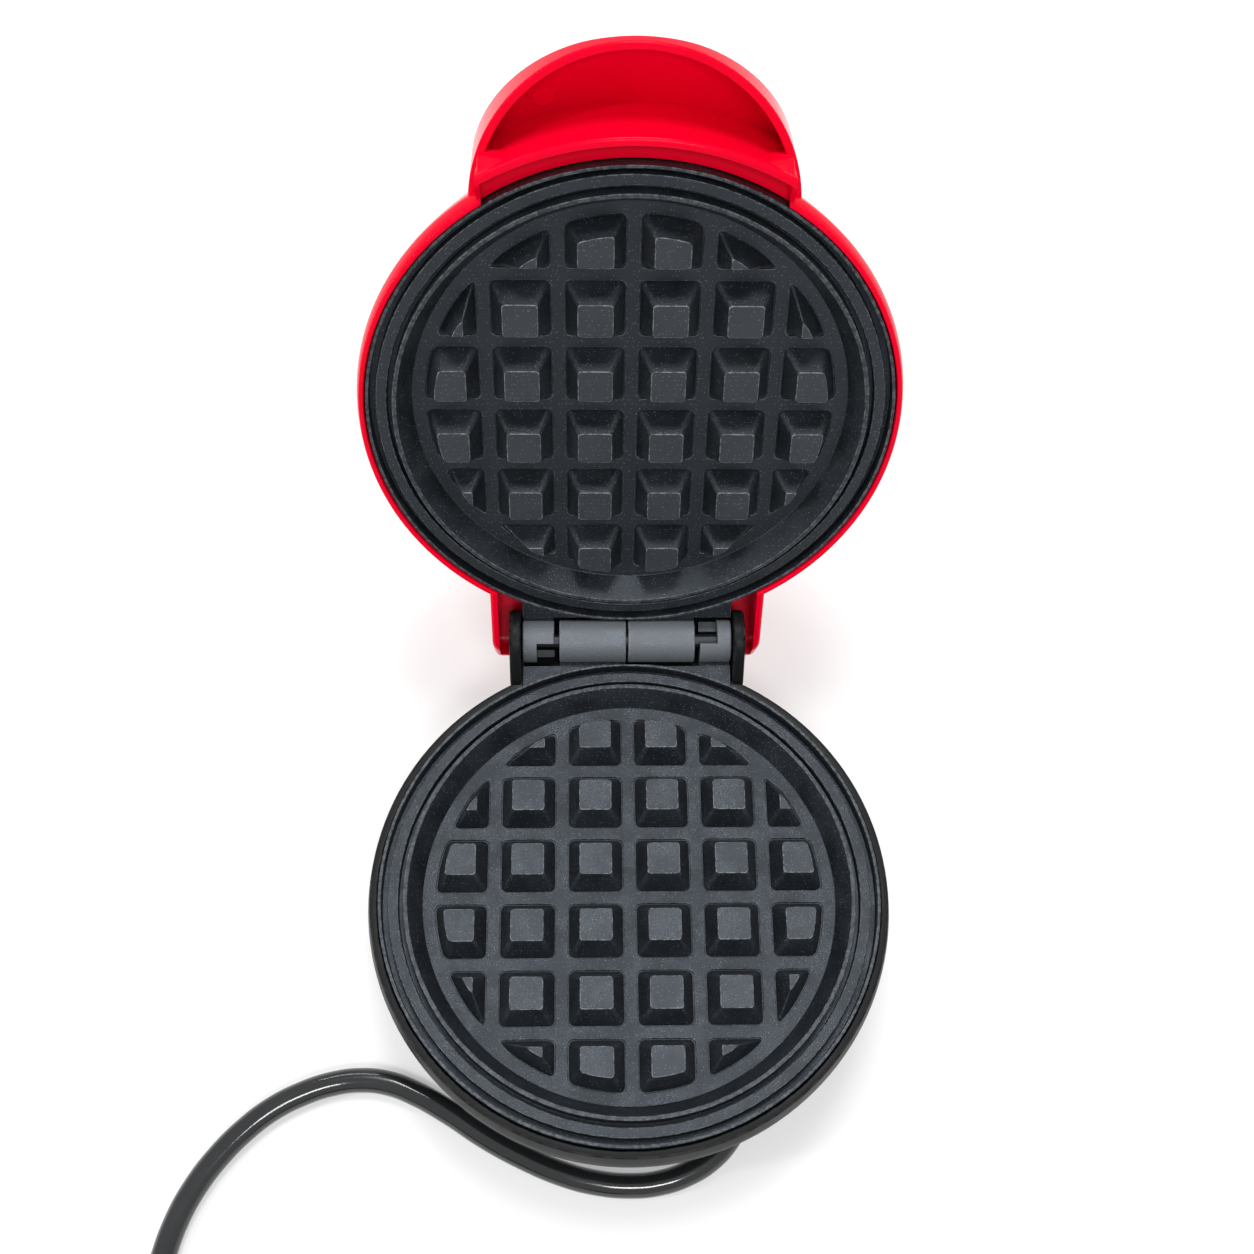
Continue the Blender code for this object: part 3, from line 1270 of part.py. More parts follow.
def build():
    shop = Workshop()
    black = make_material("black_plastic", (0.018, 0.019, 0.021), 0.38)
    red = make_material("red_gloss_plastic", (0.72, 0.006, 0.016), 0.16)
    coated = make_material("coated_aluminium", (0.055, 0.060, 0.066), 0.45, 0.35)
    steel = make_material("zinc_steel", (0.55, 0.55, 0.53), 0.32, 1.0)
    element_steel = make_material("element_steel", (0.24, 0.23, 0.22), 0.42, 1.0)
    foil = make_material("bright_aluminium", (0.80, 0.80, 0.80), 0.28, 1.0)
    rubber = make_material("foot_rubber", (0.035, 0.035, 0.035), 0.75)
    cord_black = make_material("cord_pvc", (0.012, 0.012, 0.013), 0.22)
    ceramic = make_material("thermostat_phenolic", (0.10, 0.045, 0.025), 0.5)
    white = make_material("fuse_sleeve", (0.75, 0.74, 0.70), 0.55)
    nylon = make_material("terminal_nylon", (0.62, 0.60, 0.52), 0.45)
    brass = make_material("plug_brass", (0.72, 0.56, 0.28), 0.28, 1.0)
    lens_red = make_material("indicator_amber", (0.85, 0.20, 0.03), 0.15)
    glass = make_material("lamp_glass", (0.80, 0.70, 0.62), 0.10)
    live = make_material("lead_brown", (0.14, 0.05, 0.02), 0.4)
    neutral = make_material("lead_blue", (0.02, 0.07, 0.30), 0.4)

    table = shop.frame("table", (0.0, BASE_CENTRE_Y, 0.0), (0.0, 0.0, 0.0))
    lower_plane = shop.frame("lower_parting_plane", (0.0, 0.0, HINGE_HEIGHT), (0.0, 0.0, 0.0), table)
    hinge = shop.frame("lid_hinge_axis", (0.0, HINGE_DISTANCE, HINGE_HEIGHT), (-OPEN_ANGLE, 0.0, 0.0), table)
    closed_lid = shop.frame("closed_lid", (0.0, -HINGE_DISTANCE, 0.0), (0.0, 0.0, 0.0), hinge)
    upper_plane = shop.frame("upper_parting_plane", (0.0, 0.0, 0.0), (0.0, math.pi, 0.0), closed_lid)

    shop.parent = lower_plane
    waffle_plate(shop, "lower_waffle_plate", coated)
    heating_kit(shop, "lower", steel, element_steel)
    base_housing(shop, black)
    pin_end = SMALL_KNUCKLE_END - FIT_GAP
    shop.cylinder("hinge_pin", (0.0, HINGE_DISTANCE, 0.0), PIN_RADIUS, -pin_end, pin_end, element_steel, axis="X")

    shop.parent = table
    bottom_cover(shop, black)
    floor, under_plate = base_fittings(shop, rubber, steel, ceramic, white, nylon)
    base_wiring(shop, floor, under_plate, live, neutral)
    strain_relief(shop, cord_black)
    shop.tube("power_cord", smooth_route(CORD_ROUTE, CORD_POINTS), CORD_RADIUS, cord_black)
    loops = coil_points()
    shop.tube("power_cord_coil", loops, CORD_RADIUS, cord_black, 1)
    print(f"least gap in the coil: {1000 * least_gap(loops, CORD_RADIUS):.2f} mm")
    plug(shop, loops[-1], cord_black, brass)

    shop.parent = upper_plane
    waffle_plate(shop, "upper_waffle_plate", coated)
    heating_kit(shop, "upper", steel, element_steel)
    shield = shop.cylinder(
        "upper_heat_shield",
        (0.0, 0.0, 0.0),
        SHIELD_RADIUS,
        -SHIELD_LEVEL - SHIELD_THICKNESS,
        -SHIELD_LEVEL,
        foil,
        steps=ROUND_STEPS,
    )
    for angle, name in zip(PLATE_BOSS_ANGLES, ("rear", "left", "right")):
        place = on_circle(PLATE_BOSS_CIRCLE, angle)
        hole = shop.cylinder(
            "upper_heat_shield_hole_" + name,
            (*place, 0.0),
            SCREW_BORE,
            -SHIELD_LEVEL - SHIELD_THICKNESS - OVERRUN,
            -SHIELD_LEVEL + OVERRUN,
            steps=12,
        )
        cut(shield, hole)
        screw(
            shop,
            "shield_screw_" + name,
            steel,
            place,
            -SHIELD_LEVEL - SHIELD_THICKNESS - FIT_GAP,
            SHIELD_THICKNESS + SCREW_BITE,
        )

    shop.parent = closed_lid
    lid_shell(shop, red)
    lid_fittings(shop, lens_red, glass)


build()
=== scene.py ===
"""Mini waffle maker: its looks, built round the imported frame.

The red lid stands open on its hinge behind the black base, and the mains cord lies beside it on the table.
Metres, +Z up, +Y towards the hinge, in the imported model's own frame.
"""

from __future__ import annotations

import logging
import math
from dataclasses import dataclass, field, replace
from enum import Enum
from typing import Any, Callable, Iterable, Sequence

import bmesh
import bpy
from mathutils import Matrix, Vector


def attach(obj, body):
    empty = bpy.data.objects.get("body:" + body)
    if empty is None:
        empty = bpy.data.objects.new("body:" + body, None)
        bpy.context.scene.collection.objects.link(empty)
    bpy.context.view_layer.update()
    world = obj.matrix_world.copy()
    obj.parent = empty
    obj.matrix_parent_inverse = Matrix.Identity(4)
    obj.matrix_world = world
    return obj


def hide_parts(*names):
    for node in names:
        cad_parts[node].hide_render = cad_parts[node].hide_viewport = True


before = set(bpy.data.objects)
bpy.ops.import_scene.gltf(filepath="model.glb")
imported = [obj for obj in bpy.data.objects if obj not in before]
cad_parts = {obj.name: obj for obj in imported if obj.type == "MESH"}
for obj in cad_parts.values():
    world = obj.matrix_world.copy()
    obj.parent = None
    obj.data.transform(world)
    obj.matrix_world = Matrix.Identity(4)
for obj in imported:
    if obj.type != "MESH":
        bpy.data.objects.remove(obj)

LOG = logging.getLogger("waffle_maker")
Point = Sequence[float]
Profile = Sequence[tuple[float, float]]
Range = tuple[float, float]
Colour = tuple[float, float, float]
Object = bpy.types.Object
Socket = bpy.types.NodeSocket

FIT_GAP = 0.0003
SLIP = FIT_GAP / 10  # Keeps two faces that are joined out of one plane.
OVERRUN = 0.003  # How far a cutting tool reaches past what it cuts.
MERGE_GAP = 0.000004
TOLERANCE = 0.0001
SHORTEST_SPAN = 0.001  # An edge that reaches less far along an axis runs across it.
ROUND_STEPS = 144
HALVINGS = 40
SCREW_STEPS = 24
SCREW_BORE = 0.0019
SCREW_ANGLES = (90.0, 200.0, 340.0)
PLATE_CENTRE = Vector((0.0, -0.036441, 0.0355))
HINGE_DISTANCE = 0.0626
OPEN_ANGLE = math.radians(113.5)


class Axis(Enum):
    """The line that a round primitive is made along."""

    X = (0.0, math.radians(90.0), 0.0)
    Y = (math.radians(-90.0), 0.0, 0.0)
    Z = (0.0, 0.0, 0.0)


class Joining(Enum):
    """How one solid works on another."""

    FUSE = "UNION"
    CUT = "DIFFERENCE"
    KEEP = "INTERSECT"


class Grain(Enum):
    """The fine texture that a finish may have, as how far its grain is drawn out along each axis."""

    EVEN = (1.0, 1.0, 1.0)
    DRAWN_X = (0.06, 1.0, 1.0)
    DRAWN_Y = (1.0, 0.06, 1.0)


def lower_place() -> Matrix:
    """Return the place of the lower parting plane in the frame."""
    return Matrix.Translation(PLATE_CENTRE)


def lid_place() -> Matrix:
    """Return the place of the open lid's parting plane, with +Z into the dome."""
    hinge = Matrix.Translation(PLATE_CENTRE + Vector((0.0, HINGE_DISTANCE, 0.0)))
    return hinge @ Matrix.Rotation(-OPEN_ANGLE, 4, "X") @ Matrix.Translation((0.0, -HINGE_DISTANCE, 0.0))


def upper_place() -> Matrix:
    """Return the place of the upper plate, which is the lower one's casting turned over."""
    return lid_place() @ Matrix.Rotation(math.pi, 4, "Y")


def on_circle(radius: float, degrees: float) -> tuple[float, float]:
    """Return the point on a circle at an angle in degrees."""
    return radius * math.cos(math.radians(degrees)), radius * math.sin(math.radians(degrees))


def looped(points: Sequence[Any]) -> list[Any]:
    """Return an outline's points with the first once more at the end, so that it closes."""
    return [*points, points[0]]


def span_of(edge: bmesh.types.BMEdge) -> Vector:
    """Return how far an edge reaches along each axis."""
    start, end = (vert.co for vert in edge.verts)
    return Vector([abs(b - a) for a, b in zip(start, end)])


def smooth_line(points: Sequence[Point], steps: int) -> list[Vector]:
    """Draw a smooth line through points.

    Args:
        points: The points that it passes through, in order.
        steps: The stretches between one of them and the next.

    Returns:
        The line's points, the given ones among them.
    """
    knots = [Vector(point) for point in points]
    knots = [2 * knots[0] - knots[1], *knots, 2 * knots[-1] - knots[-2]]
    line = []
    for before, start, end, after in zip(knots, knots[1:], knots[2:], knots[3:]):
        for k in range(steps):
            t = k / steps
            bend = (2 * before - 5 * start + 4 * end - after) * t**2 + (3 * start - before - 3 * end + after) * t**3
            line.append(0.5 * (2 * start + (end - before) * t + bend))
    return [*line, knots[-2]]


class Bench:
    """The workbench: Blender's own modelling steps, each a method. Its folds and turns are in degrees."""

    LEAST_CORNER = 20.0
    SMOOTH_BELOW = 35.0
    FLAT_FOLD = 9.0
    FULL_FOLD = 22.0
    EDGE_FACE_WIDTH = 0.0006
    LONG_SIDE_SHARE = 0.6

    @staticmethod
    def clear() -> None:
        """Leave edit mode and deselect every object."""
        if bpy.context.mode != "OBJECT":
            bpy.ops.object.mode_set(mode="OBJECT")
        bpy.ops.object.select_all(action="DESELECT")

    @classmethod
    def pick(cls, *pieces: Object) -> None:
        """Select these pieces, and make the first the active one.

        Args:
            pieces: What to select, the one to work on first.
        """
        cls.clear()
        for piece in pieces:
            piece.select_set(True)
        bpy.context.view_layer.objects.active = pieces[0]

    @classmethod
    def edit(cls, piece: Object, everything: bool = True) -> None:
        """Enter edit mode on one piece, with all or nothing of it selected.

        Args:
            piece: The piece to work on.
            everything: Whether all of its mesh is selected, and not none of it.
        """
        cls.pick(piece)
        bpy.ops.object.mode_set(mode="EDIT")
        bpy.ops.mesh.select_mode(type="VERT")
        bpy.ops.mesh.select_all(action="SELECT" if everything else "DESELECT")

    @classmethod
    def done(cls) -> None:
        """Leave edit mode."""
        bpy.ops.object.mode_set(mode="OBJECT")

    @classmethod
    def close(cls) -> None:
        """Merge what meets in the piece in edit mode, turn its faces outwards and leave edit mode."""
        bpy.ops.mesh.select_all(action="SELECT")
        bpy.ops.mesh.remove_doubles(threshold=MERGE_GAP)
        bpy.ops.mesh.normals_make_consistent(inside=False)
        cls.done()

    @classmethod
    def settle(cls, piece: Object) -> None:
        """Put the piece's place into its mesh, so that its object sits at the origin."""
        cls.pick(piece)
        bpy.ops.object.transform_apply(location=True, rotation=True, scale=True)

    @classmethod
    def named(cls, name: str) -> Object:
        """Name the primitive that was just added and settle it.

        Args:
            name: The name for the object and its mesh.

        Returns:
            The primitive.
        """
        piece = bpy.context.object
        piece.name = name
        piece.data.name = name
        cls.settle(piece)
        return piece

    @classmethod
    def block(cls, name: str, low: Point, high: Point) -> Object:
        """Add a block between two corners.

        Args:
            name: The piece's name.
            low: Its lowest corner.
            high: Its highest corner.

        Returns:
            The new object.
        """
        cls.clear()
        middle = [(a + b) / 2 for a, b in zip(low, high)]
        size = [b - a for a, b in zip(low, high)]
        bpy.ops.mesh.primitive_cube_add(size=1.0, location=middle, scale=size)
        return cls.named(name)

    @classmethod
    def rod(
        cls,
        name: str,
        centre: Point,
        radius: float,
        low: float,
        high: float,
        axis: Axis = Axis.Z,
        steps: int = 48,
    ) -> Object:
        """Add a rod about a line through a point.

        Args:
            name: The piece's name.
            centre: A point on its line.
            radius: Its radius.
            low: Its low end, measured along the line from the centre.
            high: Its high end.
            axis: The direction of the line.
            steps: The sides of its circle.

        Returns:
            The new object.
        """
        cls.clear()
        along = {Axis.X: Vector((1, 0, 0)), Axis.Y: Vector((0, 1, 0)), Axis.Z: Vector((0, 0, 1))}[axis]
        bpy.ops.mesh.primitive_cone_add(
            vertices=steps,
            radius1=radius,
            radius2=radius,
            depth=high - low,
            location=Vector(centre) + along * (low + high) / 2,
            rotation=axis.value,
        )
        return cls.named(name)

    @classmethod
    def screw_rods(
        cls, name: str, circle: float, radius: float, low: float, high: float, steps: int = SCREW_STEPS
    ) -> list[Object]:
        """Add the same upright rod at the place of each of the three screws, on a circle about Z."""
        places = [(*on_circle(circle, angle), 0.0) for angle in SCREW_ANGLES]
        return [cls.rod(name, place, radius, low, high, steps=steps) for place in places]

    @classmethod
    def line(cls, name: str, points: Sequence[Point]) -> Object:
        """Draw a chain of edges, one vertex extruded from the last.

        Args:
            name: The piece's name.
            points: The chain's vertices in order.

        Returns:
            The new object.
        """
        cls.clear()
        bpy.ops.mesh.primitive_plane_add(size=0.001, location=points[0])
        piece = cls.named(name)
        cls.edit(piece)
        bpy.ops.mesh.merge(type="CENTER")
        for start, end in zip(points, points[1:]):
            step = [b - a for a, b in zip(start, end)]
            bpy.ops.mesh.extrude_vertices_move(TRANSFORM_OT_translate={"value": step})
        cls.done()
        return piece

    @classmethod
    def turned(
        cls, name: str, profile: Profile, steps: int = ROUND_STEPS, ease: float = 0.0, offset: bool = False
    ) -> Object:
        """Spin a section about Z.

        Args:
            name: The piece's name.
            profile: The section's points as (radius, height). It ends on the axis or where it began.
            steps: The steps of the spin.
            ease: How far its corners are rounded.
            offset: Whether its facets lie half a step round, clear of those of another turned shape.

        Returns:
            The new object, closed and with its faces outwards.
        """
        piece = cls.line(name, [(radius, 0.0, height) for radius, height in profile])
        if ease:
            cls.ease_corners(piece, ease)
        cls.edit(piece)
        bpy.ops.mesh.spin(steps=steps, angle=2 * math.pi, center=(0.0, 0.0, 0.0), axis=(0.0, 0.0, 1.0))
        cls.close()
        if offset:
            piece.rotation_euler.z = math.pi / steps
            cls.settle(piece)
        return piece

    @classmethod
    def ease_corners(cls, piece: Object, width: float, steps: int = 3) -> None:
        """Round the corners of a drawn line by bevelling its vertices.

        Args:
            piece: The line.
            width: How far from a corner the rounding starts.
            steps: Its segments.
        """
        cls.edit(piece)
        bpy.ops.mesh.remove_doubles(threshold=MERGE_GAP)
        bpy.ops.mesh.select_all(action="DESELECT")
        shape = bmesh.from_edit_mesh(piece.data)
        for vert in shape.verts:
            if len(vert.link_edges) == 2:
                ways = [edge.other_vert(vert).co - vert.co for edge in vert.link_edges]
                vert.select_set(math.degrees(math.pi - ways[0].angle(ways[1])) > cls.LEAST_CORNER)
        bmesh.update_edit_mesh(piece.data)
        bpy.ops.mesh.bevel(offset=width, segments=steps, affect="VERTICES", clamp_overlap=True)
        cls.done()

    @classmethod
    def prism(cls, name: str, outline: Sequence[Point], step: Point) -> Object:
        """Fill a closed outline and extrude it.

        Args:
            name: The piece's name.
            outline: The outline's corners in order.
            step: How far it is extruded.

        Returns:
            The new object, with its faces outwards.
        """
        piece = cls.line(name, outline)
        cls.edit(piece)
        bpy.ops.mesh.edge_face_add()
        bpy.ops.mesh.select_all(action="SELECT")
        bpy.ops.mesh.extrude_region_move(TRANSFORM_OT_translate={"value": step})
        cls.close()
        return piece

    @classmethod
    def stack(
        cls, name: str, outline: Sequence[Point], levels: Profile, centre: Point, reach: Point, ease: float = 0.0
    ) -> Object:
        """Fill an outline and raise it level by level, narrowing it on the way.

        Args:
            name: The piece's name.
            outline: The outline in plan at the lowest level.
            levels: Each level as (height, how far the sides have moved inwards).
            centre: The point in plan that the sides move towards.
            reach: How far the sides lie from that point along X and along Y.
            ease: How far the outline's corners are rounded.

        Returns:
            The new object.
        """
        low = levels[0][0]
        piece = cls.line(name, [(x, y, low) for x, y in looped(outline)])
        cls.ease_corners(piece, ease, steps=4)
        cls.edit(piece)
        bpy.ops.mesh.edge_face_add()
        height, shares = low, Vector((1.0, 1.0))
        for level, inwards in levels:
            target = Vector((1 - inwards / reach[0], 1 - inwards / reach[1]))
            if level > height:
                bpy.ops.mesh.extrude_region_move(TRANSFORM_OT_translate={"value": (0.0, 0.0, level - height)})
            bpy.ops.transform.resize(
                value=(target.x / shares.x, target.y / shares.y, 1.0), center_override=(*centre, level)
            )
            height, shares = level, target
        cls.close()
        return piece

    @classmethod
    def join_fans(cls, piece: Object) -> None:
        """Make one face of the triangles round each vertex on the axis of a turned piece with flat ends.

        Args:
            piece: The piece to work on.
        """
        cls.edit(piece, everything=False)
        shape = bmesh.from_edit_mesh(piece.data)
        for vert in shape.verts:
            vert.select_set(vert.co.xy.length < SLIP)
        bmesh.update_edit_mesh(piece.data)
        bpy.ops.mesh.dissolve_verts()
        cls.done()

    @classmethod
    def wrap(cls, name: str, points: Sequence[Point]) -> Object:
        """Stretch a closed skin over points.

        Args:
            name: The piece's name.
            points: The points to wrap.

        Returns:
            The new object.
        """
        piece = cls.line(name, points)
        cls.edit(piece)
        bpy.ops.mesh.convex_hull()
        cls.close()
        return piece

    @classmethod
    def copy(
        cls, piece: Object, name: str, step: Point = (0.0, 0.0, 0.0), turn: float = 0.0, mirrored: bool = False
    ) -> Object:
        """Duplicate a piece with its own mesh.

        Args:
            piece: The piece to copy.
            name: The copy's name.
            step: How far the copy moves.
            turn: How far it turns about Z, in degrees.
            mirrored: Whether it is first mirrored along Y.

        Returns:
            The copy.
        """
        cls.pick(piece)
        bpy.ops.object.duplicate(linked=False)
        twin = cls.named(name)
        if mirrored:
            twin.scale.y = -1.0
            cls.settle(twin)
            cls.edit(twin)
            cls.close()
        twin.rotation_euler.z = math.radians(turn)
        twin.location = step
        cls.settle(twin)
        return twin

    @classmethod
    def join(cls, target: Object, others: Iterable[Object]) -> Object:
        """Join pieces into the target, each still its own shell.

        Args:
            target: The piece that takes the others in.
            others: The pieces that it takes in.

        Returns:
            The target.
        """
        cls.pick(target, *others)
        bpy.ops.object.join()
        return target

    @classmethod
    def work(cls, target: Object, joining: Joining, *tools: Object) -> Object:
        """Fuse, cut or keep a solid with each tool in turn, and use the tools up.

        Args:
            target: The solid to work on.
            joining: What each tool does to it.
            tools: The tools in order.

        Returns:
            The target.
        """
        for tool in tools:
            cls.pick(target)
            change = target.modifiers.new(tool.name, "BOOLEAN")
            change.operation = joining.value
            change.solver = "EXACT"
            change.object = tool
            bpy.ops.object.modifier_apply(modifier=change.name)
            cls.pick(tool)
            bpy.ops.object.delete()
        return target

    @classmethod
    def tidy(cls, piece: Object) -> None:
        """Merge doubled vertices.

        Args:
            piece: The piece to work on.
        """
        cls.edit(piece)
        bpy.ops.mesh.remove_doubles(threshold=MERGE_GAP)
        cls.done()

    @classmethod
    def bevel_where(
        cls, piece: Object, width: float, steps: int, test: Callable[[bmesh.types.BMEdge], bool]
    ) -> None:
        """Bevel the edges that pass a test.

        Args:
            piece: The piece to work on.
            width: The bevel's width.
            steps: Its segments.
            test: Says of an edge whether it is bevelled.
        """
        cls.edit(piece, everything=False)
        bpy.ops.mesh.select_mode(type="EDGE")
        shape = bmesh.from_edit_mesh(piece.data)
        for edge in shape.edges:
            edge.select_set(bool(test(edge)))
        bmesh.update_edit_mesh(piece.data)
        bpy.ops.mesh.bevel(offset=width, segments=steps, affect="EDGES", clamp_overlap=True)
        cls.done()

    @classmethod
    def soften(cls, piece: Object, width: float, steps: int = 2, angle: float = 30.0, clamp: bool = False) -> None:
        """Round every edge sharper than an angle with a Bevel modifier.

        Args:
            piece: The piece to work on.
            width: How far from an edge the rounding starts.
            steps: Its segments.
            angle: The least fold that is rounded.
            clamp: Whether it narrows where two roundings would meet.
        """
        cls.pick(piece)
        bevel = piece.modifiers.new("Softened edges", "BEVEL")
        bevel.width = width
        bevel.segments = steps
        bevel.limit_method = "ANGLE"
        bevel.angle_limit = math.radians(angle)
        bevel.use_clamp_overlap = clamp
        bpy.ops.object.modifier_apply(modifier=bevel.name)

    @classmethod
    def shade(cls, piece: Object) -> None:
        """Shade smooth up to an angle, with flat faces kept flat beside their rounded edges.

        Args:
            piece: The finished piece.
        """
        cls.pick(piece)
        bpy.ops.object.shade_smooth_by_angle(angle=math.radians(cls.SMOOTH_BELOW))
        weighted = piece.modifiers.new("Flat faces", "WEIGHTED_NORMAL")
        weighted.keep_sharp = True
        bpy.ops.object.modifier_apply(modifier=weighted.name)

    @classmethod
    def place(cls, piece: Object, matrix: Matrix) -> None:
        """Move the piece into the frame and settle it there."""
        piece.matrix_world = matrix
        cls.settle(piece)

    @classmethod
    def mark_edges(cls, piece: Object, rubbing_and_sheen: Callable[[Vector], tuple[float, float]] | None = None) -> None:
        """Write to edge_wear where a raised edge is, on the narrow faces along it, and to face_rub_and_sheen whole
        faces that are rubbed or lightened by a painted sheen.

        Args:
            piece: The finished piece.
            rubbing_and_sheen: Says from a face's middle how far its edges are worn at most, and how far all of it is
                rubbed or lightened by a painted sheen.
        """
        shape = bmesh.new()
        shape.from_mesh(piece.data)

        def share(edges: Iterable[bmesh.types.BMEdge]) -> float:
            """Return how sharply the sharpest of some edges stands out, from 0 to 1.

            Args:
                edges: The edges of a face or a vertex.

            Returns:
                How much of a raised edge it is.
            """
            folds = [math.degrees(edge.calc_face_angle_signed(0.0)) for edge in edges if len(edge.link_faces) == 2]
            fold, hollow = max(folds, default=0.0), min(folds, default=0.0)
            sharp = (fold - cls.FLAT_FOLD) / (cls.FULL_FOLD - cls.FLAT_FOLD)
            return min(max(sharp, 0.0), 1.0) if fold > -hollow else 0.0

        shares = [share(vert.link_edges) for vert in shape.verts]
        worn, rub_and_sheen = [], []
        for face in shape.faces:
            longest = max(edge.calc_length() for edge in face.edges)
            sides = [edge for edge in face.edges if edge.calc_length() > cls.LONG_SIDE_SHARE * longest]
            whole = share(sides) if face.calc_area() < cls.EDGE_FACE_WIDTH * longest else 0.0
            most, even = rubbing_and_sheen(face.calc_center_median()) if rubbing_and_sheen else (1.0, 0.0)
            worn += [most * min(shares[vert.index], whole) for vert in face.verts]
            rub_and_sheen += [even] * len(face.verts)
        shape.free()
        for name, values in (("edge_wear", worn), ("face_rub_and_sheen", rub_and_sheen)):
            layer = piece.data.attributes.new(name, "FLOAT", "CORNER")
            layer.data.foreach_set("value", values)


class NodeTree:
    """A material's or group's node tree, with nodes added from left to right."""

    COLUMN_WIDTH = 180
    ROW_HEIGHT = 40
    ROWS = 5

    def __init__(self, tree: bpy.types.NodeTree) -> None:
        """Keep the tree."""
        self.tree = tree
        self.column = 0

    def add(self, kind: str, settings: dict[str, Any] | None = None, **inputs: Any) -> bpy.types.Node:
        """Add a node.

        Args:
            kind: Its type, without the ShaderNode at the front.
            settings: Its properties.
            inputs: Its sockets, by name with _ for a blank, or by number after an i. A socket is linked, and
                anything else is a value.

        Returns:
            The new node.
        """
        node = self.tree.nodes.new("ShaderNode" + kind)
        self.column += 1
        node.location = (self.COLUMN_WIDTH * self.column, -self.ROW_HEIGHT * (self.column % self.ROWS))
        for name, value in (settings or {}).items():
            setattr(node, name, value)
        for name, value in inputs.items():
            socket = node.inputs[int(name[1:])] if name[1:].isdigit() else node.inputs[name.replace("_", " ")]
            if isinstance(value, bpy.types.NodeSocket):
                self.tree.links.new(value, socket)
            else:
                socket.default_value = value
        return node

    def maths(self, operation: str, first: Any, second: Any) -> Socket:
        """Add a Math node and return its result."""
        return self.add("Math", {"operation": operation}, i0=first, i1=second).outputs[0]

    def ramp(self, value: Any, given: Range, wanted: Range = (0.0, 1.0)) -> Socket:
        """Add a Map Range node that turns one range smoothly into another, and return its result."""
        ends = {"From_Min": given[0], "From_Max": given[1], "To_Min": wanted[0], "To_Max": wanted[1]}
        return self.add("MapRange", {"interpolation_type": "SMOOTHSTEP"}, Value=value, **ends).outputs[0]

    def mix(self, share: Any, first: Any, second: Any) -> Socket:
        """Add a colour Mix node and return its result."""
        return self.add("Mix", {"data_type": "RGBA"}, i0=share, i6=first, i7=second).outputs[2]


class Effects:
    """The effects that several finishes share, each a node group that is built once."""

    BLOTCH_RANGE = (0.3, 0.7)
    FLECKLESS_SHARE = 0.60
    FLECK_EDGE = (0.08, 0.24)
    PATCH_RANGE = (0.42, 0.60)
    LEAST_PATCH = 0.10

    @staticmethod
    def start(name: str, inputs: dict[str, float], outputs: Sequence[str]) -> tuple[NodeTree, Any, Any]:
        """Make an empty group.

        Args:
            name: The group's name.
            inputs: Its number inputs and their defaults. A Vector input comes first.
            outputs: Its number outputs.

        Returns:
            The tree, its input node and its output node.
        """
        group = bpy.data.node_groups.new(name, "ShaderNodeTree")
        group.interface.new_socket(name="Vector", in_out="INPUT", socket_type="NodeSocketVector")
        for label, value in inputs.items():
            socket = group.interface.new_socket(name=label, in_out="INPUT", socket_type="NodeSocketFloat")
            socket.default_value = value
        for label in outputs:
            group.interface.new_socket(name=label, in_out="OUTPUT", socket_type="NodeSocketFloat")
        return NodeTree(group), group.nodes.new("NodeGroupInput"), group.nodes.new("NodeGroupOutput")

    @classmethod
    def grain(cls) -> bpy.types.NodeTree:
        """Return the group of fine grain, broad blotches and small flecks.

        Returns:
            The group, whose outputs are Grain, Blotch and Fleck.
        """
        name = "surface_grain"
        if name in bpy.data.node_groups:
            return bpy.data.node_groups[name]
        tree, given, result = cls.start(
            name, {"Grain Scale": 2500.0, "Blotch Scale": 60.0, "Fleck Scale": 1800.0}, ("Grain", "Blotch", "Fleck")
        )
        vector, scale, blotch_scale, fleck_scale = given.outputs[:4]
        fine = tree.add("TexNoise", {}, Vector=vector, Scale=scale, Detail=3.0, Roughness=0.6)
        broad = tree.add("TexNoise", {}, Vector=vector, Scale=blotch_scale, Detail=4.0, Roughness=0.62)
        cells = tree.add("TexVoronoi", {}, Vector=vector, Scale=fleck_scale)
        links = tree.tree.links
        links.new(fine.outputs["Fac"], result.inputs["Grain"])
        links.new(tree.ramp(broad.outputs["Fac"], cls.BLOTCH_RANGE), result.inputs["Blotch"])
        chosen = tree.maths("GREATER_THAN", cells.outputs["Color"], cls.FLECKLESS_SHARE)
        spots = tree.ramp(cells.outputs["Distance"], cls.FLECK_EDGE, (1.0, 0.0))
        links.new(tree.maths("MULTIPLY", spots, chosen), result.inputs["Fleck"])
        return tree.tree

    @classmethod
    def wear(cls) -> bpy.types.NodeTree:
        """Return the group that breaks the raised edges' wear into patches.

        Returns:
            The group, whose output is Mask.
        """
        name = "broken_edge_wear"
        if name in bpy.data.node_groups:
            return bpy.data.node_groups[name]
        tree, given, result = cls.start(name, {"Edge": 0.0, "Patch Scale": 300.0, "Amount": 0.5}, ("Mask",))
        vector, edge, scale, amount = given.outputs[:4]
        patches = tree.add("TexNoise", {}, Vector=vector, Scale=scale, Detail=4.0, Roughness=0.65)
        spread = tree.ramp(patches.outputs["Fac"], cls.PATCH_RANGE, (cls.LEAST_PATCH, 1.0))
        mask = tree.maths("MULTIPLY", tree.maths("MULTIPLY", edge, spread), amount)
        tree.tree.links.new(mask, result.inputs["Mask"])
        return tree.tree


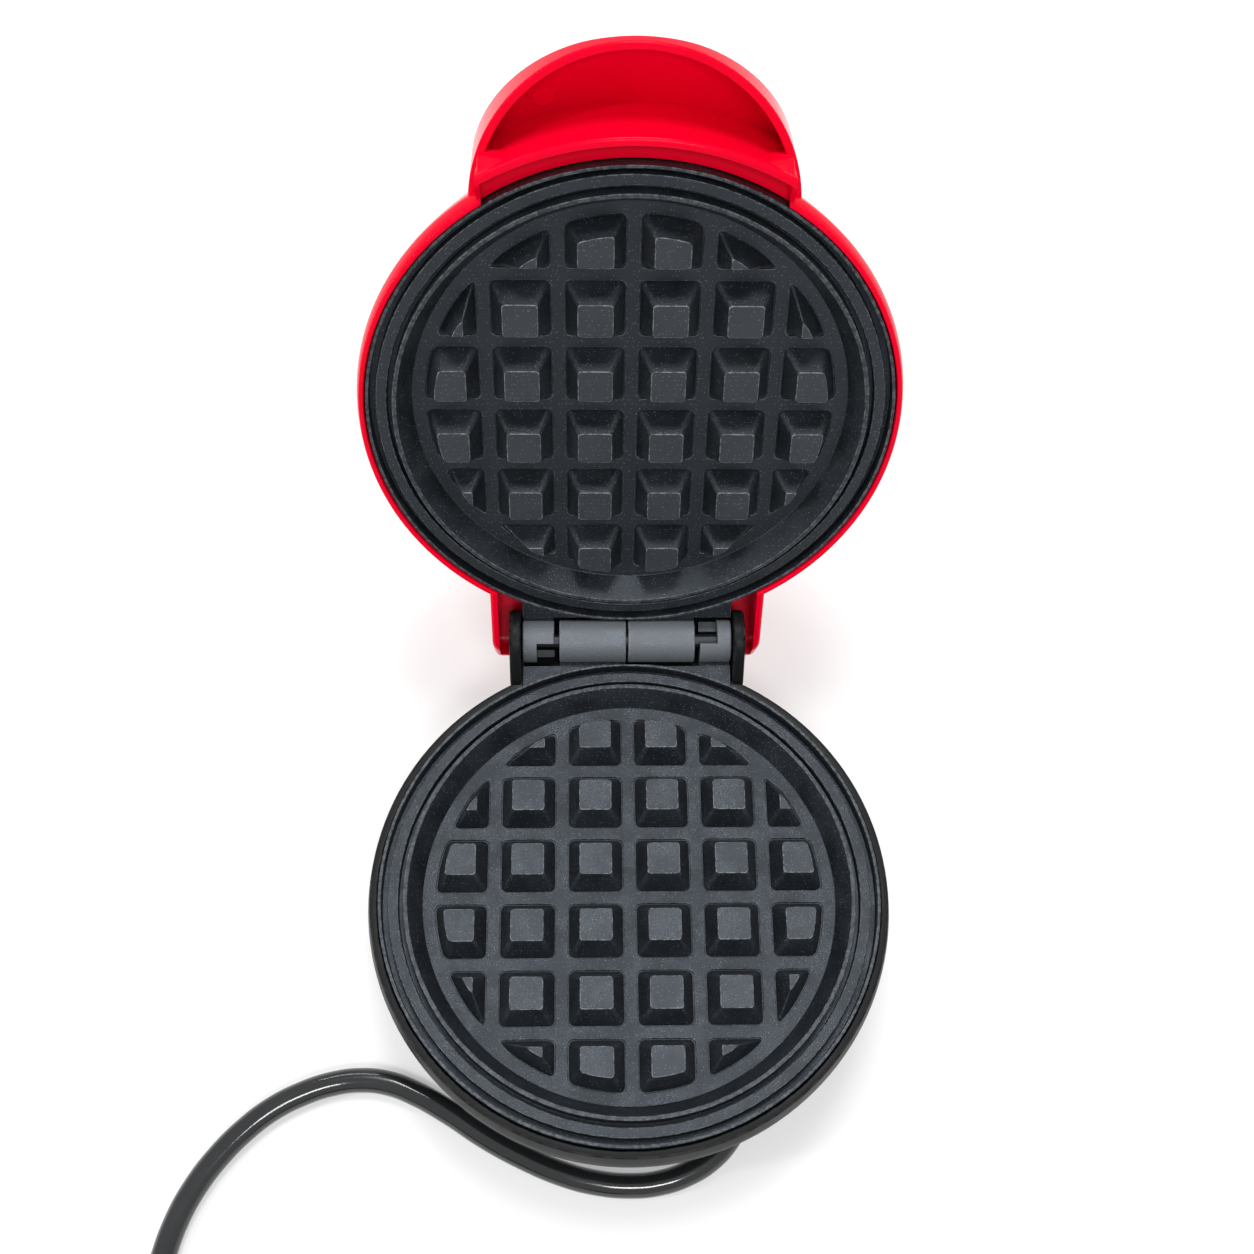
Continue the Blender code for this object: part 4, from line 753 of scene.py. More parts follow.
@dataclass(frozen=True)
class Finish:
    """A finish: its colours, gloss, grain and wear."""

    name: str
    colour: Colour
    shade: Colour
    fleck: Colour
    fleck_share: float = 0.0
    roughness: Range = (0.30, 0.45)
    metallic: float = 0.0
    specular: float = 0.5
    gloss_tint: Colour = (1.0, 1.0, 1.0)
    coat: float = 0.0
    coat_roughness: float = 0.08
    grain: Grain = Grain.EVEN
    grain_size: float = 0.0004
    blotch_size: float = 0.015
    fleck_size: float = 0.0006
    relief: float = 0.00001
    # The colour of worn coating, which also paints the sheen on the stud tops.
    worn: Colour = (0.3, 0.3, 0.3)
    wear: float = 0.0
    wear_size: float = 0.003
    # Whether face_rub_and_sheen mixes in the worn colour: real rubbing, and a painted sheen.
    rub_and_sheen: bool = False
    blotch_share: float = 0.55
    grain_share: float = 0.45
    tone_range: Range = (0.2, 0.8)

    def material(self) -> bpy.types.Material:
        """Build the material once and return it.

        Returns:
            The material, the same one for every piece that has this finish.
        """
        if self.name in bpy.data.materials:
            return bpy.data.materials[self.name]
        material = bpy.data.materials.new(self.name)
        material.use_nodes = True
        tree = NodeTree(material.node_tree)
        shader = material.node_tree.nodes["Principled BSDF"]
        constants = {
            "Metallic": self.metallic,
            "Specular IOR Level": self.specular,
            "Specular Tint": (*self.gloss_tint, 1.0),
            "Coat Weight": self.coat,
            "Coat Roughness": self.coat_roughness,
        }
        for label, value in constants.items():
            shader.inputs[label].default_value = value
        place = tree.add("TexCoord").outputs["Object"]
        drawn = tree.add("Mapping", {}, Vector=place, Scale=self.grain.value).outputs[0]
        grain = tree.add(
            "Group",
            {"node_tree": Effects.grain()},
            Vector=drawn,
            Grain_Scale=1 / self.grain_size,
            Blotch_Scale=1 / self.blotch_size,
            Fleck_Scale=1 / self.fleck_size,
        )
        blotches = tree.maths("MULTIPLY", grain.outputs["Blotch"], self.blotch_share)
        tone = tree.maths("ADD", blotches, tree.maths("MULTIPLY", grain.outputs["Grain"], self.grain_share))
        colour = tree.mix(tone, (*self.shade, 1.0), (*self.colour, 1.0))
        flecks = tree.maths("MULTIPLY", grain.outputs["Fleck"], self.fleck_share)
        colour = tree.mix(flecks, colour, (*self.fleck, 1.0))
        rough = tree.ramp(tone, self.tone_range, self.roughness)
        # Whole faces lightened towards the worn colour: real rubbing, and a painted sheen on the stud tops.
        if self.rub_and_sheen:
            even = tree.add("Attribute", {"attribute_name": "face_rub_and_sheen"}).outputs["Fac"]
            colour = tree.mix(even, colour, (*self.worn, 1.0))
        if self.wear:
            edge = tree.add("Attribute", {"attribute_name": "edge_wear"}).outputs["Fac"]
            worn = tree.add(
                "Group",
                {"node_tree": Effects.wear()},
                Vector=place,
                Edge=edge,
                Patch_Scale=1 / self.wear_size,
                Amount=self.wear,
            ).outputs["Mask"]
            colour = tree.mix(worn, colour, (*self.worn, 1.0))
        bump = tree.add("Bump", {}, Height=grain.outputs["Grain"], Strength=1.0, Distance=self.relief)
        links = material.node_tree.links
        links.new(colour, shader.inputs["Base Color"])
        links.new(rough, shader.inputs["Roughness"])
        links.new(bump.outputs["Normal"], shader.inputs["Normal"])
        return material

    def dress(self, *pieces: Object) -> None:
        """Put the finish on pieces, in every slot that they have.

        Args:
            pieces: The pieces that get it.
        """
        for piece in pieces:
            if not piece.material_slots:
                piece.data.materials.append(self.material())
            for slot in piece.material_slots:
                slot.material = self.material()


# Its worn colour also paints the sheen on the stud tops.
COATING = Finish(
    name="non_stick_coating", colour=(0.013, 0.015, 0.018), shade=(0.006, 0.0075, 0.0095),
    fleck=(0.34, 0.36, 0.38), fleck_share=0.65, roughness=(0.32, 0.52), specular=0.5,
    gloss_tint=(0.78, 0.88, 1.0), grain_size=0.00036, blotch_size=0.008, fleck_size=0.00044, relief=0.00012,
    worn=(0.20, 0.215, 0.235), wear=1.0, wear_size=0.0011, rub_and_sheen=True,
)
RED_SHELL = Finish(
    name="red_gloss_moulding", colour=(0.72, 0.0004, 0.020), shade=(0.66, 0.0003, 0.015),
    fleck=(0.78, 0.01, 0.02), fleck_share=0.03, roughness=(0.12, 0.20), specular=0.06,
    gloss_tint=(1.0, 0.75, 0.85), grain_size=0.0022, blotch_size=0.05, relief=0.000012,
)
BLACK_SATIN = Finish(
    name="black_satin_moulding", colour=(0.007, 0.0075, 0.008), shade=(0.004, 0.0045, 0.005),
    fleck=(0.02, 0.02, 0.022), fleck_share=0.2, roughness=(0.36, 0.48), specular=0.11, grain_size=0.0003,
    blotch_size=0.03, relief=0.00001, worn=(0.05, 0.05, 0.052), wear=0.4,
)
CORD_SKIN = Finish(
    name="black_cord_skin", colour=(0.014, 0.015, 0.016), shade=(0.009, 0.010, 0.011),
    fleck=(0.022, 0.022, 0.023), fleck_share=0.1, roughness=(0.12, 0.18), specular=0.5, coat=0.3,
    coat_roughness=0.04, grain_size=0.0012, blotch_size=0.02, relief=0.000015,
)
PLUG_SKIN = replace(CORD_SKIN, name="black_plug_moulding", roughness=(0.34, 0.46), coat=0.0, grain_size=0.0003)
ZINC_STEEL = Finish(
    name="zinc_plated_steel", colour=(0.58, 0.58, 0.56), shade=(0.44, 0.44, 0.42), fleck=(0.70, 0.68, 0.60),
    fleck_share=0.15, roughness=(0.24, 0.40), metallic=1.0, grain=Grain.DRAWN_X, relief=0.000008,
)
DARK_STEEL = replace(
    ZINC_STEEL, name="dark_element_steel", colour=(0.20, 0.19, 0.18), shade=(0.11, 0.105, 0.10),
    fleck=(0.28, 0.24, 0.20), roughness=(0.36, 0.52),
)
BLACK_OXIDE = replace(
    ZINC_STEEL, name="blackened_pin_steel", colour=(0.030, 0.031, 0.034), shade=(0.018, 0.019, 0.021),
    fleck=(0.08, 0.08, 0.08), roughness=(0.30, 0.44),
)
BRIGHT_SHEET = replace(
    ZINC_STEEL, name="bright_aluminium_sheet", colour=(0.82, 0.82, 0.83), shade=(0.70, 0.70, 0.71),
    fleck=(0.88, 0.88, 0.88), grain=Grain.DRAWN_Y,
)
BRASS = replace(
    ZINC_STEEL, name="plug_brass", colour=(0.78, 0.60, 0.30), shade=(0.62, 0.46, 0.21),
    fleck=(0.50, 0.34, 0.16), grain=Grain.DRAWN_X,
)
FOOT_RUBBER = Finish(
    name="foot_rubber", colour=(0.040, 0.040, 0.040), shade=(0.026, 0.026, 0.026), fleck=(0.09, 0.09, 0.085),
    fleck_share=0.25, roughness=(0.70, 0.88), grain_size=0.0005, relief=0.00004,
)
PHENOLIC = Finish(
    name="brown_phenolic", colour=(0.11, 0.048, 0.026), shade=(0.07, 0.030, 0.016), fleck=(0.18, 0.10, 0.06),
    fleck_share=0.3, roughness=(0.42, 0.58),
)
FUSE_SLEEVE = Finish(
    name="white_fuse_sleeve", colour=(0.76, 0.75, 0.71), shade=(0.66, 0.65, 0.60), fleck=(0.82, 0.82, 0.80),
    fleck_share=0.3, roughness=(0.50, 0.62), grain=Grain.DRAWN_X, relief=0.00004,
)
NYLON = Finish(
    name="natural_nylon", colour=(0.64, 0.62, 0.54), shade=(0.56, 0.53, 0.45), fleck=(0.68, 0.66, 0.60),
    fleck_share=0.2, roughness=(0.38, 0.50),
)
AMBER_LENS = Finish(
    name="amber_lens", colour=(0.86, 0.22, 0.03), shade=(0.74, 0.14, 0.02), fleck=(0.90, 0.34, 0.08),
    fleck_share=0.2, roughness=(0.08, 0.14), coat=0.4,
)
LAMP_GLASS = Finish(
    name="neon_lamp_glass", colour=(0.82, 0.72, 0.64), shade=(0.72, 0.58, 0.48), fleck=(0.88, 0.80, 0.72),
    roughness=(0.06, 0.12),
)
BROWN_LEAD = Finish(
    name="brown_lead_skin", colour=(0.15, 0.055, 0.022), shade=(0.11, 0.038, 0.015), fleck=(0.20, 0.08, 0.04),
    roughness=(0.34, 0.46),
)
BLUE_LEAD = replace(
    BROWN_LEAD, name="blue_lead_skin", colour=(0.022, 0.075, 0.31), shade=(0.014, 0.05, 0.22), fleck=(0.05, 0.12, 0.38)
)
TABLE_TOP = Finish(
    name="white_table_top", colour=(0.53, 0.53, 0.53), shade=(0.52, 0.52, 0.52), fleck=(0.53, 0.53, 0.53),
    roughness=(0.75, 0.85), specular=0.1, blotch_size=0.4, relief=0.0,
)


@dataclass(frozen=True)
class Softbox:
    """One area light that faces the cooker, with its width and height in metres and its power in watts."""

    name: str
    place: Point
    size: tuple[float, float]
    power: float

    def hang(self) -> None:
        """Add the light to the scene."""
        data = bpy.data.lights.new(self.name, "AREA")
        data.shape = "RECTANGLE"
        data.size, data.size_y = self.size
        data.energy = self.power
        light = bpy.data.objects.new(self.name, data)
        light.location = self.place
        towards = PLATE_CENTRE - Vector(self.place)
        light.rotation_euler = towards.to_track_quat("-Z", "Y").to_euler()
        bpy.context.scene.collection.objects.link(light)


@dataclass
class Studio:
    """The camera, the lights and the table that the cooker stands on."""

    camera_place: Point = (-0.01069, -0.14568, 0.39065)
    camera_turn: Point = (23.5034, -1.7233, -0.9390)
    lens: float = 46.716
    sensor_width: float = 36.0
    shift: tuple[float, float] = (-0.00898, 0.06395)
    nearest: float = 0.01
    table_size: float = 4.0
    table_thickness: float = 0.03
    table_ease: float = 0.004
    table_glow: float = 0.34
    white: tuple[float, ...] = (1.0, 1.0, 1.0, 1.0)
    world_strength: float = 0.66
    softboxes: tuple[Softbox, ...] = (
        Softbox("overhead", (0.03, 0.30, 1.1), (0.3, 0.3), 6.2),
        Softbox("front", (0.10, -0.65, 1.10), (0.4, 0.2), 6.0),
        Softbox("left_strip", (-0.75, -0.20, 0.70), (0.05, 0.9), 3.0),
        Softbox("rear_strip", (0.00, 0.95, 0.85), (1.0, 0.05), 3.0),
    )

    def build(self) -> None:
        """Set up the camera, then the table, then the light."""
        self.add_camera()
        self.add_table()
        self.add_lights()

    def add_camera(self) -> None:
        """Add the camera at the photograph's viewing angle and make it the scene's."""
        data = bpy.data.cameras.new("camera")
        data.lens = self.lens
        data.sensor_width = self.sensor_width
        data.shift_x, data.shift_y = self.shift
        data.clip_start = self.nearest
        camera = bpy.data.objects.new("camera", data)
        camera.location = self.camera_place
        camera.rotation_euler = [math.radians(angle) for angle in self.camera_turn]
        bpy.context.scene.collection.objects.link(camera)
        bpy.context.scene.camera = camera

    def add_table(self) -> None:
        """Add the pale table top, a slab whose top is at height zero."""
        half = self.table_size / 2
        table = Bench.block("table_top", (-half, -half, -self.table_thickness), (half, half, 0.0))
        Bench.soften(table, self.table_ease)
        TABLE_TOP.dress(table)
        shader = TABLE_TOP.material().node_tree.nodes["Principled BSDF"]
        shader.inputs["Emission Color"].default_value = self.white
        shader.inputs["Emission Strength"].default_value = self.table_glow

    def add_lights(self) -> None:
        """Hang the softboxes overhead and in front, the two strips for the gloss, and the white surroundings."""
        for softbox in self.softboxes:
            softbox.hang()
        world = bpy.data.worlds.new("studio_surroundings")
        world.use_nodes = True
        background = world.node_tree.nodes["Background"]
        background.inputs["Color"].default_value = self.white
        background.inputs["Strength"].default_value = self.world_strength
        bpy.context.scene.world = world


CORD_ROUTE = (
    (0.0275, -0.0306, 0.0045), (0.0275, -0.0345, 0.0044), (0.0273, -0.0388, 0.0040),
    (0.0265, -0.0430, 0.0034), (0.0250, -0.0473, 0.0031), (0.0224, -0.0515, 0.0030),
    (0.0187, -0.0552, 0.0030), (0.0135, -0.0583, 0.0030), (0.0070, -0.0604, 0.0030),
    (0.0000, -0.0610, 0.0030), (-0.0085, -0.0601, 0.0030), (-0.0160, -0.0580, 0.0030),
    (-0.0240, -0.0546, 0.0030), (-0.0332, -0.0497, 0.0030), (-0.0421, -0.0439, 0.0030),
    (-0.0504, -0.0393, 0.0030), (-0.0565, -0.0370, 0.0030), (-0.0630, -0.0362, 0.0030),
    (-0.0698, -0.0370, 0.0030), (-0.0768, -0.0393, 0.0030), (-0.0832, -0.0426, 0.0030),
    (-0.0891, -0.0472, 0.0030), (-0.0946, -0.0530, 0.0030), (-0.0994, -0.0598, 0.0030),
    (-0.1030, -0.0673, 0.0030), (-0.1055, -0.0764, 0.0030), (-0.1066, -0.0850, 0.0030),
    (-0.1070, -0.0940, 0.0030), (-0.1070, -0.1030, 0.0030), (-0.1070, -0.1105, 0.0030),
)


@dataclass
class MainsCord:
    """The mains cord, its put-away coil and its two-blade plug."""

    radius: float = 0.0029
    level: float = 0.0030
    coil_centre: Point = (-0.0720, -0.1180, 0.0)
    coil_radius: float = 0.0350
    coil_pitch: float = 0.0064
    loop_points: int = 24
    turn_start: float = 180.0
    climb_start: float = 540.0
    climb_end: float = 720.0
    turn_end: float = 990.0
    lead_in: float = 0.0072
    lead_out: float = 0.0200
    plug_width: float = 0.0240
    plug_length: float = 0.0270
    plug_clearance: float = 0.0001
    plug_corner: float = 0.0045
    plug_ease: float = 0.0022
    grooves: int = 4
    groove_start: float = 0.0060
    groove_pitch: float = 0.0042
    groove_radius: float = 0.0011
    groove_out: float = 0.0004
    tail_length: float = 0.0220
    tail_radii: tuple[float, float] = (0.0034, 0.0062)
    tail_bite: float = 0.0040
    rings: int = 6
    ring_share: float = 0.62
    ring_flare: float = 0.0002
    ring_notch: float = 0.0006
    blade_spacing: float = 0.0127
    blade_size: Point = (0.0170, 0.0015, 0.0063)
    blade_root: float = 0.0060
    blade_corner: float = 0.0018
    blade_ease: float = 0.00015
    hole_inset: float = 0.0042
    hole_radius: float = 0.0016
    smoothness: int = 6
    length: float = 0.675

    def coil(self) -> list[Vector]:
        """Return the coil's points: round and inwards on the table, up a layer, and back outwards to the plug.

        Returns:
            The points, from the end of the seen stretch to the plug.
        """
        turn_back = (self.climb_start + self.climb_end) / 2
        step = 360 / self.loop_points
        points = []
        for k in range(round((self.turn_end - self.turn_start) / step) + 1):
            angle = self.turn_start + step * k
            inwards = (min(angle, turn_back) - self.turn_start - max(angle - turn_back, 0.0)) / 360
            climbed = min(max((angle - self.climb_start) / (self.climb_end - self.climb_start), 0.0), 1.0)
            height = self.level + self.coil_pitch * (1 - math.cos(math.pi * climbed)) / 2
            x, y = on_circle(self.coil_radius - self.coil_pitch * inwards, angle)
            points.append(Vector(self.coil_centre) + Vector((x, y, height)))
        first = points[0] + Vector((0.0, self.lead_in, 0.0))
        return [first, *points, points[-1] + Vector((self.lead_out, 0.0, 0.0))]

    def route(self) -> list[Vector]:
        """Return the whole cord's points in the frame, from the strain relief to the plug."""
        step = Vector((0.0, PLATE_CENTRE.y, 0.0))
        return [Vector(point) + step for point in (*CORD_ROUTE, *self.coil())]

    def build(self) -> None:
        points = self.route()
        cord = self.lay_cord(points)
        plug = self.mould_plug(points[-1])
        blades = [self.press_blade(points[-1], side, name) for side, name in ((1, "left"), (-1, "right"))]
        LOG.info("cord, plug and blades")

    def lay_cord(self, points: Sequence[Vector]) -> Object:
        """Draw the cord as one smooth round curve through its points.

        Args:
            points: Where it runs, from the strain relief to the plug.

        Returns:
            The cord's curve.
        """
        curve = bpy.data.curves.new("mains_cord", "CURVE")
        curve.dimensions = "3D"
        curve.bevel_depth = self.radius
        curve.bevel_resolution = curve.resolution_u = self.smoothness
        curve.use_fill_caps = True
        spline = curve.splines.new("BEZIER")
        spline.bezier_points.add(len(points) - 1)
        for knot, point in zip(spline.bezier_points, points):
            knot.co = point
            knot.handle_left_type = knot.handle_right_type = "AUTO"
        cord = bpy.data.objects.new("mains_cord", curve)
        bpy.context.scene.collection.objects.link(cord)
        CORD_SKIN.dress(cord)
        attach(cord, "base")
        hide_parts("power_cord", "power_cord_coil")
        return cord

    def mould_plug(self, start: Vector) -> Object:
        """Model the plug: a flattened grip with ridges, and a ringed tail that takes the cord.

        Args:
            start: The cord's end.

        Returns:
            The plug without its blades.
        """
        x, y, z = start.x + FIT_GAP, start.y, start.z
        grip = x + self.tail_length
        end = grip + self.plug_length
        half, half_width = z - self.plug_clearance, self.plug_width / 2
        body = Bench.block("plug", (grip, y - half_width, z - half), (end, y + half_width, z + half))
        Bench.bevel_where(
            body, self.plug_corner, steps=5, test=lambda edge: span_of(edge).xy.length < SHORTEST_SPAN
        )
        Bench.soften(body, self.plug_ease, steps=4, angle=50.0, clamp=True)
        for k in range(self.grooves):
            groove_x = grip + self.groove_start + self.groove_pitch * k
            for side in (-1, 1):
                middle = (groove_x, y + side * (half_width + self.groove_out), z)
                groove = Bench.rod(f"plug_groove_{k}", middle, self.groove_radius, -half, half, steps=16)
                Bench.work(body, Joining.CUT, groove)
        tail = Bench.turned("plug_tail", self.tail_profile(), steps=32)
        tail.matrix_world = Matrix.Translation((x, y, z)) @ Matrix.Rotation(math.radians(90.0), 4, "Y")
        Bench.settle(tail)
        Bench.work(body, Joining.FUSE, tail)
        _, thick, wide = self.blade_size
        for side in (-1, 1):
            middle = y + side * self.blade_spacing / 2
            slot = Bench.block(
                "plug_slot",
                (end - self.blade_root, middle - thick / 2 - FIT_GAP, z - wide / 2 - FIT_GAP),
                (end + OVERRUN, middle + thick / 2 + FIT_GAP, z + wide / 2 + FIT_GAP),
            )
            Bench.work(body, Joining.CUT, slot)
        Bench.tidy(body)
        Bench.shade(body)
        PLUG_SKIN.dress(body)
        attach(body, "base")
        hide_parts("plug_body")
        return body

    def tail_profile(self) -> list[tuple[float, float]]:
        """Return the section of the plug's tail: its rings, then the stretch inside the grip.

        Returns:
            The section's points as (radius, distance from the cord's end).
        """
        (first, last), length, rings = self.tail_radii, self.tail_length, self.rings
        profile = [(0.0, 0.0)]
        for k in range(rings):
            near = length * k / rings
            far = length * (k + self.ring_share) / rings
            radius = first + (last - first) * k / (rings - 1)
            notch = radius - self.ring_notch
            profile += [(radius, near), (radius + self.ring_flare, far), (notch, far + self.ring_flare)]
            profile += [(notch, length * (k + 1) / rings - self.ring_flare)]
        return [*profile, (last, length), (last, length + self.tail_bite), (0.0, length + self.tail_bite)]

    def press_blade(self, start: Vector, side: int, name: str) -> Object:
        """Press one flat blade with its rounded tip and its hole.

        Args:
            start: The cord's end.
            side: 1 for the left blade and -1 for the right.
            name: left or right.

        Returns:
            The blade.
        """
        length, thick, wide = self.blade_size
        grip_end = start.x + FIT_GAP + self.tail_length + self.plug_length
        y = start.y + side * self.blade_spacing / 2
        low = (grip_end - self.blade_root + FIT_GAP, y - thick / 2, start.z - wide / 2)
        high = (grip_end + length, y + thick / 2, start.z + wide / 2)
        blade = Bench.block(f"blade_{name}", low, high)

        def at_tip(edge: bmesh.types.BMEdge) -> bool:
            """Say whether an edge runs across the blade at its tip."""
            return all(vert.co.x > high[0] - TOLERANCE for vert in edge.verts) and span_of(edge).y > SHORTEST_SPAN

        Bench.bevel_where(blade, self.blade_corner, steps=4, test=at_tip)
        place = (high[0] - self.hole_inset, y, start.z)
        hole = Bench.rod("blade_hole", place, self.hole_radius, -thick, thick, axis=Axis.Y, steps=24)
        Bench.work(blade, Joining.CUT, hole)
        Bench.soften(blade, self.blade_ease, steps=2, angle=40.0)
        Bench.shade(blade)
        BRASS.dress(blade)
        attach(blade, "base")
        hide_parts(f"plug_blade_{name}")
        return blade


@dataclass
class WafflePlate:
    """One casting, used for both plates. Depths are below its parting plane."""

    name: str
    node: str
    body: str
    place: Matrix
    coating: Finish
    radius: float = 0.0572
    lip_width: float = 0.0007
    lip_drop: float = 0.0012
    outer_groove_width: float = 0.0015
    outer_groove_drop: float = 0.0044
    ring_width: float = 0.0023
    ring_drop: float = 0.0020
    inner_groove_width: float = 0.0012
    inner_groove_drop: float = 0.0042
    ridge_width: float = 0.0009
    ridge_drop: float = 0.0008
    slope_width: float = 0.0030
    cavity_drop: float = 0.0065
    wall: float = 0.0031
    rim_wall: float = 0.0008
    field_margin: float = 0.0029
    pitch: float = 0.0156
    stud_half: float = 0.0064
    stud_top_half: float = 0.0037
    stud_top_drop: float = 0.0010
    corner_steps: int = 7
    corner_cut: float = 0.25
    tab_half: float = 0.0250
    tab_drop: float = 0.0018
    tab_share: float = 0.86
    neck_drop: float = 0.0019
    knuckle_ease: float = 0.0004
    knuckle_radius: float = 0.00515
    big_knuckle: tuple[float, float] = (-0.01625, -0.00025)
    small_knuckle: tuple[float, float] = (0.0175, 0.0250)
    knuckle_clearance: float = 0.0006
    notch_width: float = 0.0042
    notch_angle: float = 123.3
    bore: float = 0.0025
    boss_radius: float = 0.0036
    boss_inset: float = 0.0046
    boss_end: float = 0.0221
    boss_steps: int = 40
    screw_bite: float = 0.0063
    clamp_y: float = -0.0060
    clamp_radius: float = 0.0042
    clamp_end: float = 0.0159
    clamp_hole: tuple[float, float] = (-0.0192, -0.0096)
    edge_ease: float = 0.00020
    stud_ease: float = 0.00016
    pit_depth: float = 0.0004
    pit_corner: float = 0.0013
    pit_ease: float = 0.00018
    pit_flare: Profile = ((-1.0, 0.0), (-0.45, -0.25), (0.25, -1.2))
    pit_margin: float = 0.00022
    outer_wall_share: float = 0.77
    barrel_reach: float = 1.02
    barrel_wear: float = 0.5
    rim_wear: float = 0.45
    top_wear: float = 0.8
    foot_wear: float = 0.35
    side_wear: float = 0.10
    barrel_rubbing: float = 0.48
    # Painted sheen: how far the stud tops are lightened towards the worn colour.
    top_sheen: float = 0.06

    def radii(self) -> dict[str, float]:
        """Return the radii of the rim's steps, from the outside in.

        Returns:
            Each step's radius by name.
        """
        groove_outer = self.radius - self.lip_width
        ring_outer = groove_outer - self.outer_groove_width
        ring_inner = ring_outer - self.ring_width
        ridge_outer = ring_inner - self.inner_groove_width
        ridge_inner = ridge_outer - self.ridge_width
        cavity = ridge_inner - self.slope_width
        return {
            "groove_outer": groove_outer,
            "ring_outer": ring_outer,
            "ring_inner": ring_inner,
            "ridge_outer": ridge_outer,
            "ridge_inner": ridge_inner,
            "cavity": cavity,
        }

    def build(self) -> Object:
        """Build the casting, coat it and hang it on its body.

        Returns:
            The finished plate.
        """
        rim_under = self.outer_groove_drop + self.rim_wall
        plate = self.turn_dish(rim_under)
        tab_edge = HINGE_DISTANCE - self.knuckle_radius - self.knuckle_clearance
        clearance = Bench.block(
            "clearance",
            (-self.tab_half - OVERRUN, tab_edge, -self.cavity_drop - self.wall),
            (self.tab_half + OVERRUN, HINGE_DISTANCE + self.knuckle_radius, OVERRUN),
        )
        Bench.work(plate, Joining.CUT, self.spread("pit", self.stud_half, self.pit_levels()))
        knuckles = [self.model_knuckle(rim_under, *span) for span in (self.big_knuckle, self.small_knuckle)]
        studs = self.spread("stud", self.stud_half - self.pit_margin, self.stud_levels())
        Bench.work(plate, Joining.FUSE, studs)
        Bench.work(plate, Joining.CUT, clearance)
        Bench.work(plate, Joining.FUSE, self.model_tab(rim_under), *knuckles, *self.model_bosses())
        Bench.work(plate, Joining.CUT, *self.model_holes())
        Bench.tidy(plate)
        Bench.shade(plate)
        Bench.mark_edges(plate, rubbing_and_sheen=self.rubbing_and_sheen)
        Bench.place(plate, self.place)
        self.coating.dress(plate)
        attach(plate, self.body)
        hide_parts(self.node)
        LOG.info("%s: %d faces", self.name, len(plate.data.polygons))
        return plate

    def rubbing_and_sheen(self, point: Vector) -> tuple[float, float]:
        """Return how far the coating is worn at a point, and how far a painted sheen lightens it.

        Args:
            point: A face's middle.

        Returns:
            The most that its edges are worn, and how far all of it is lightened towards the worn colour, each from 0
            to 1: real rubbing on the barrels, a painted sheen on the stud tops.
        """
        if math.hypot(point.y - HINGE_DISTANCE, point.z) < self.barrel_reach * self.knuckle_radius:
            return self.barrel_wear, self.barrel_rubbing
        if point.xy.length > self.field_radius():
            return self.rim_wear, 0.0
        # Stud tops: worn edges, and a painted sheen that lightens the whole top a little.
        if point.z > -self.stud_top_drop - 2 * self.stud_ease:
            return self.top_wear, self.top_sheen
        return self.foot_wear if point.z < -self.cavity_drop + self.pit_ease else self.side_wear, 0.0

    def turn_dish(self, rim_under: float) -> Object:
        """Spin the dish with its rim rings.

        Args:
            rim_under: How deep the underside of the rim is.

        Returns:
            The new object.
        """
        at = self.radii()
        under = self.cavity_drop + self.wall
        profile = [
            (0.0, -self.cavity_drop),
            (at["cavity"], -self.cavity_drop),
            (at["ridge_inner"], -self.ridge_drop),
            (at["ridge_outer"], -self.ridge_drop),
            (at["ridge_outer"], -self.inner_groove_drop),
            (at["ring_inner"], -self.inner_groove_drop),
            (at["ring_inner"], -self.ring_drop),
            (at["ring_outer"], -self.ring_drop),
            (at["ring_outer"], -self.outer_groove_drop),
            (at["groove_outer"], -self.outer_groove_drop),
            (at["groove_outer"], -self.lip_drop),
            (self.radius, -self.lip_drop),
            (self.radius, -rim_under),
            (at["ring_inner"], -rim_under),
            (at["ridge_inner"], -under),
            (0.0, -under),
        ]
        dish = Bench.turned(self.name, profile, ease=self.edge_ease)
        Bench.join_fans(dish)
        return dish

    def field_radius(self) -> float:
        """Return the radius of the round edge that clips the outer studs."""
        return self.radii()["cavity"] - self.field_margin

    def narrowing(self, near_x: float, near_y: float, radius: float, sidelong: bool) -> tuple[Point, Point]:
        """Find the point that the sides of a stud at the field's edge lean towards.

        Args:
            near_x: Where its straight side across X is.
            near_y: Where its straight side across Y is.
            radius: The radius of its round side.
            sidelong: Whether it stands in one of the middle rows.

        Returns:
            The point, and how far the straight sides lie from it. The round side lies nearer, and so is steeper.
        """
        low, high = 0.0, self.stud_half
        for _ in range(HALVINGS):
            within = (low + high) / 2
            x, y = near_x + within, self.pitch / 2 if sidelong else near_y + within
            if math.hypot(x, y) < radius - self.outer_wall_share * within:
                low = within
            else:
                high = within
        return (near_x + within, near_y + within), (within, within)

    def stud_levels(self) -> Profile:
        """Return a stud's levels as (height, how far its sides have moved inwards), with an eased top edge.

        Returns:
            The levels from the foot to the top, the first of them sunk into the dish.
        """
        foot = -self.cavity_drop - self.pit_depth
        top = -self.stud_top_drop
        inwards = self.stud_half - self.pit_margin - self.stud_top_half
        slant = math.hypot(inwards, top - foot)
        sunk = self.wall / 3
        levels = [(foot - sunk, -sunk * inwards / (top - foot))]
        for t in (0.0, 0.3, 0.65, 1.0):
            back, on = self.stud_ease * (1 - t) ** 2, self.stud_ease * t**2
            levels.append((top - back * (top - foot) / slant, inwards - back * inwards / slant + on))
        return levels

    def pit_levels(self) -> Profile:
        """Return a pit's levels, from its floor up to its flared rim."""
        flare = [(-self.cavity_drop + up * self.pit_ease, out * self.pit_ease) for up, out in self.pit_flare]
        return [(-self.cavity_drop - self.pit_depth, 0.0), *flare]

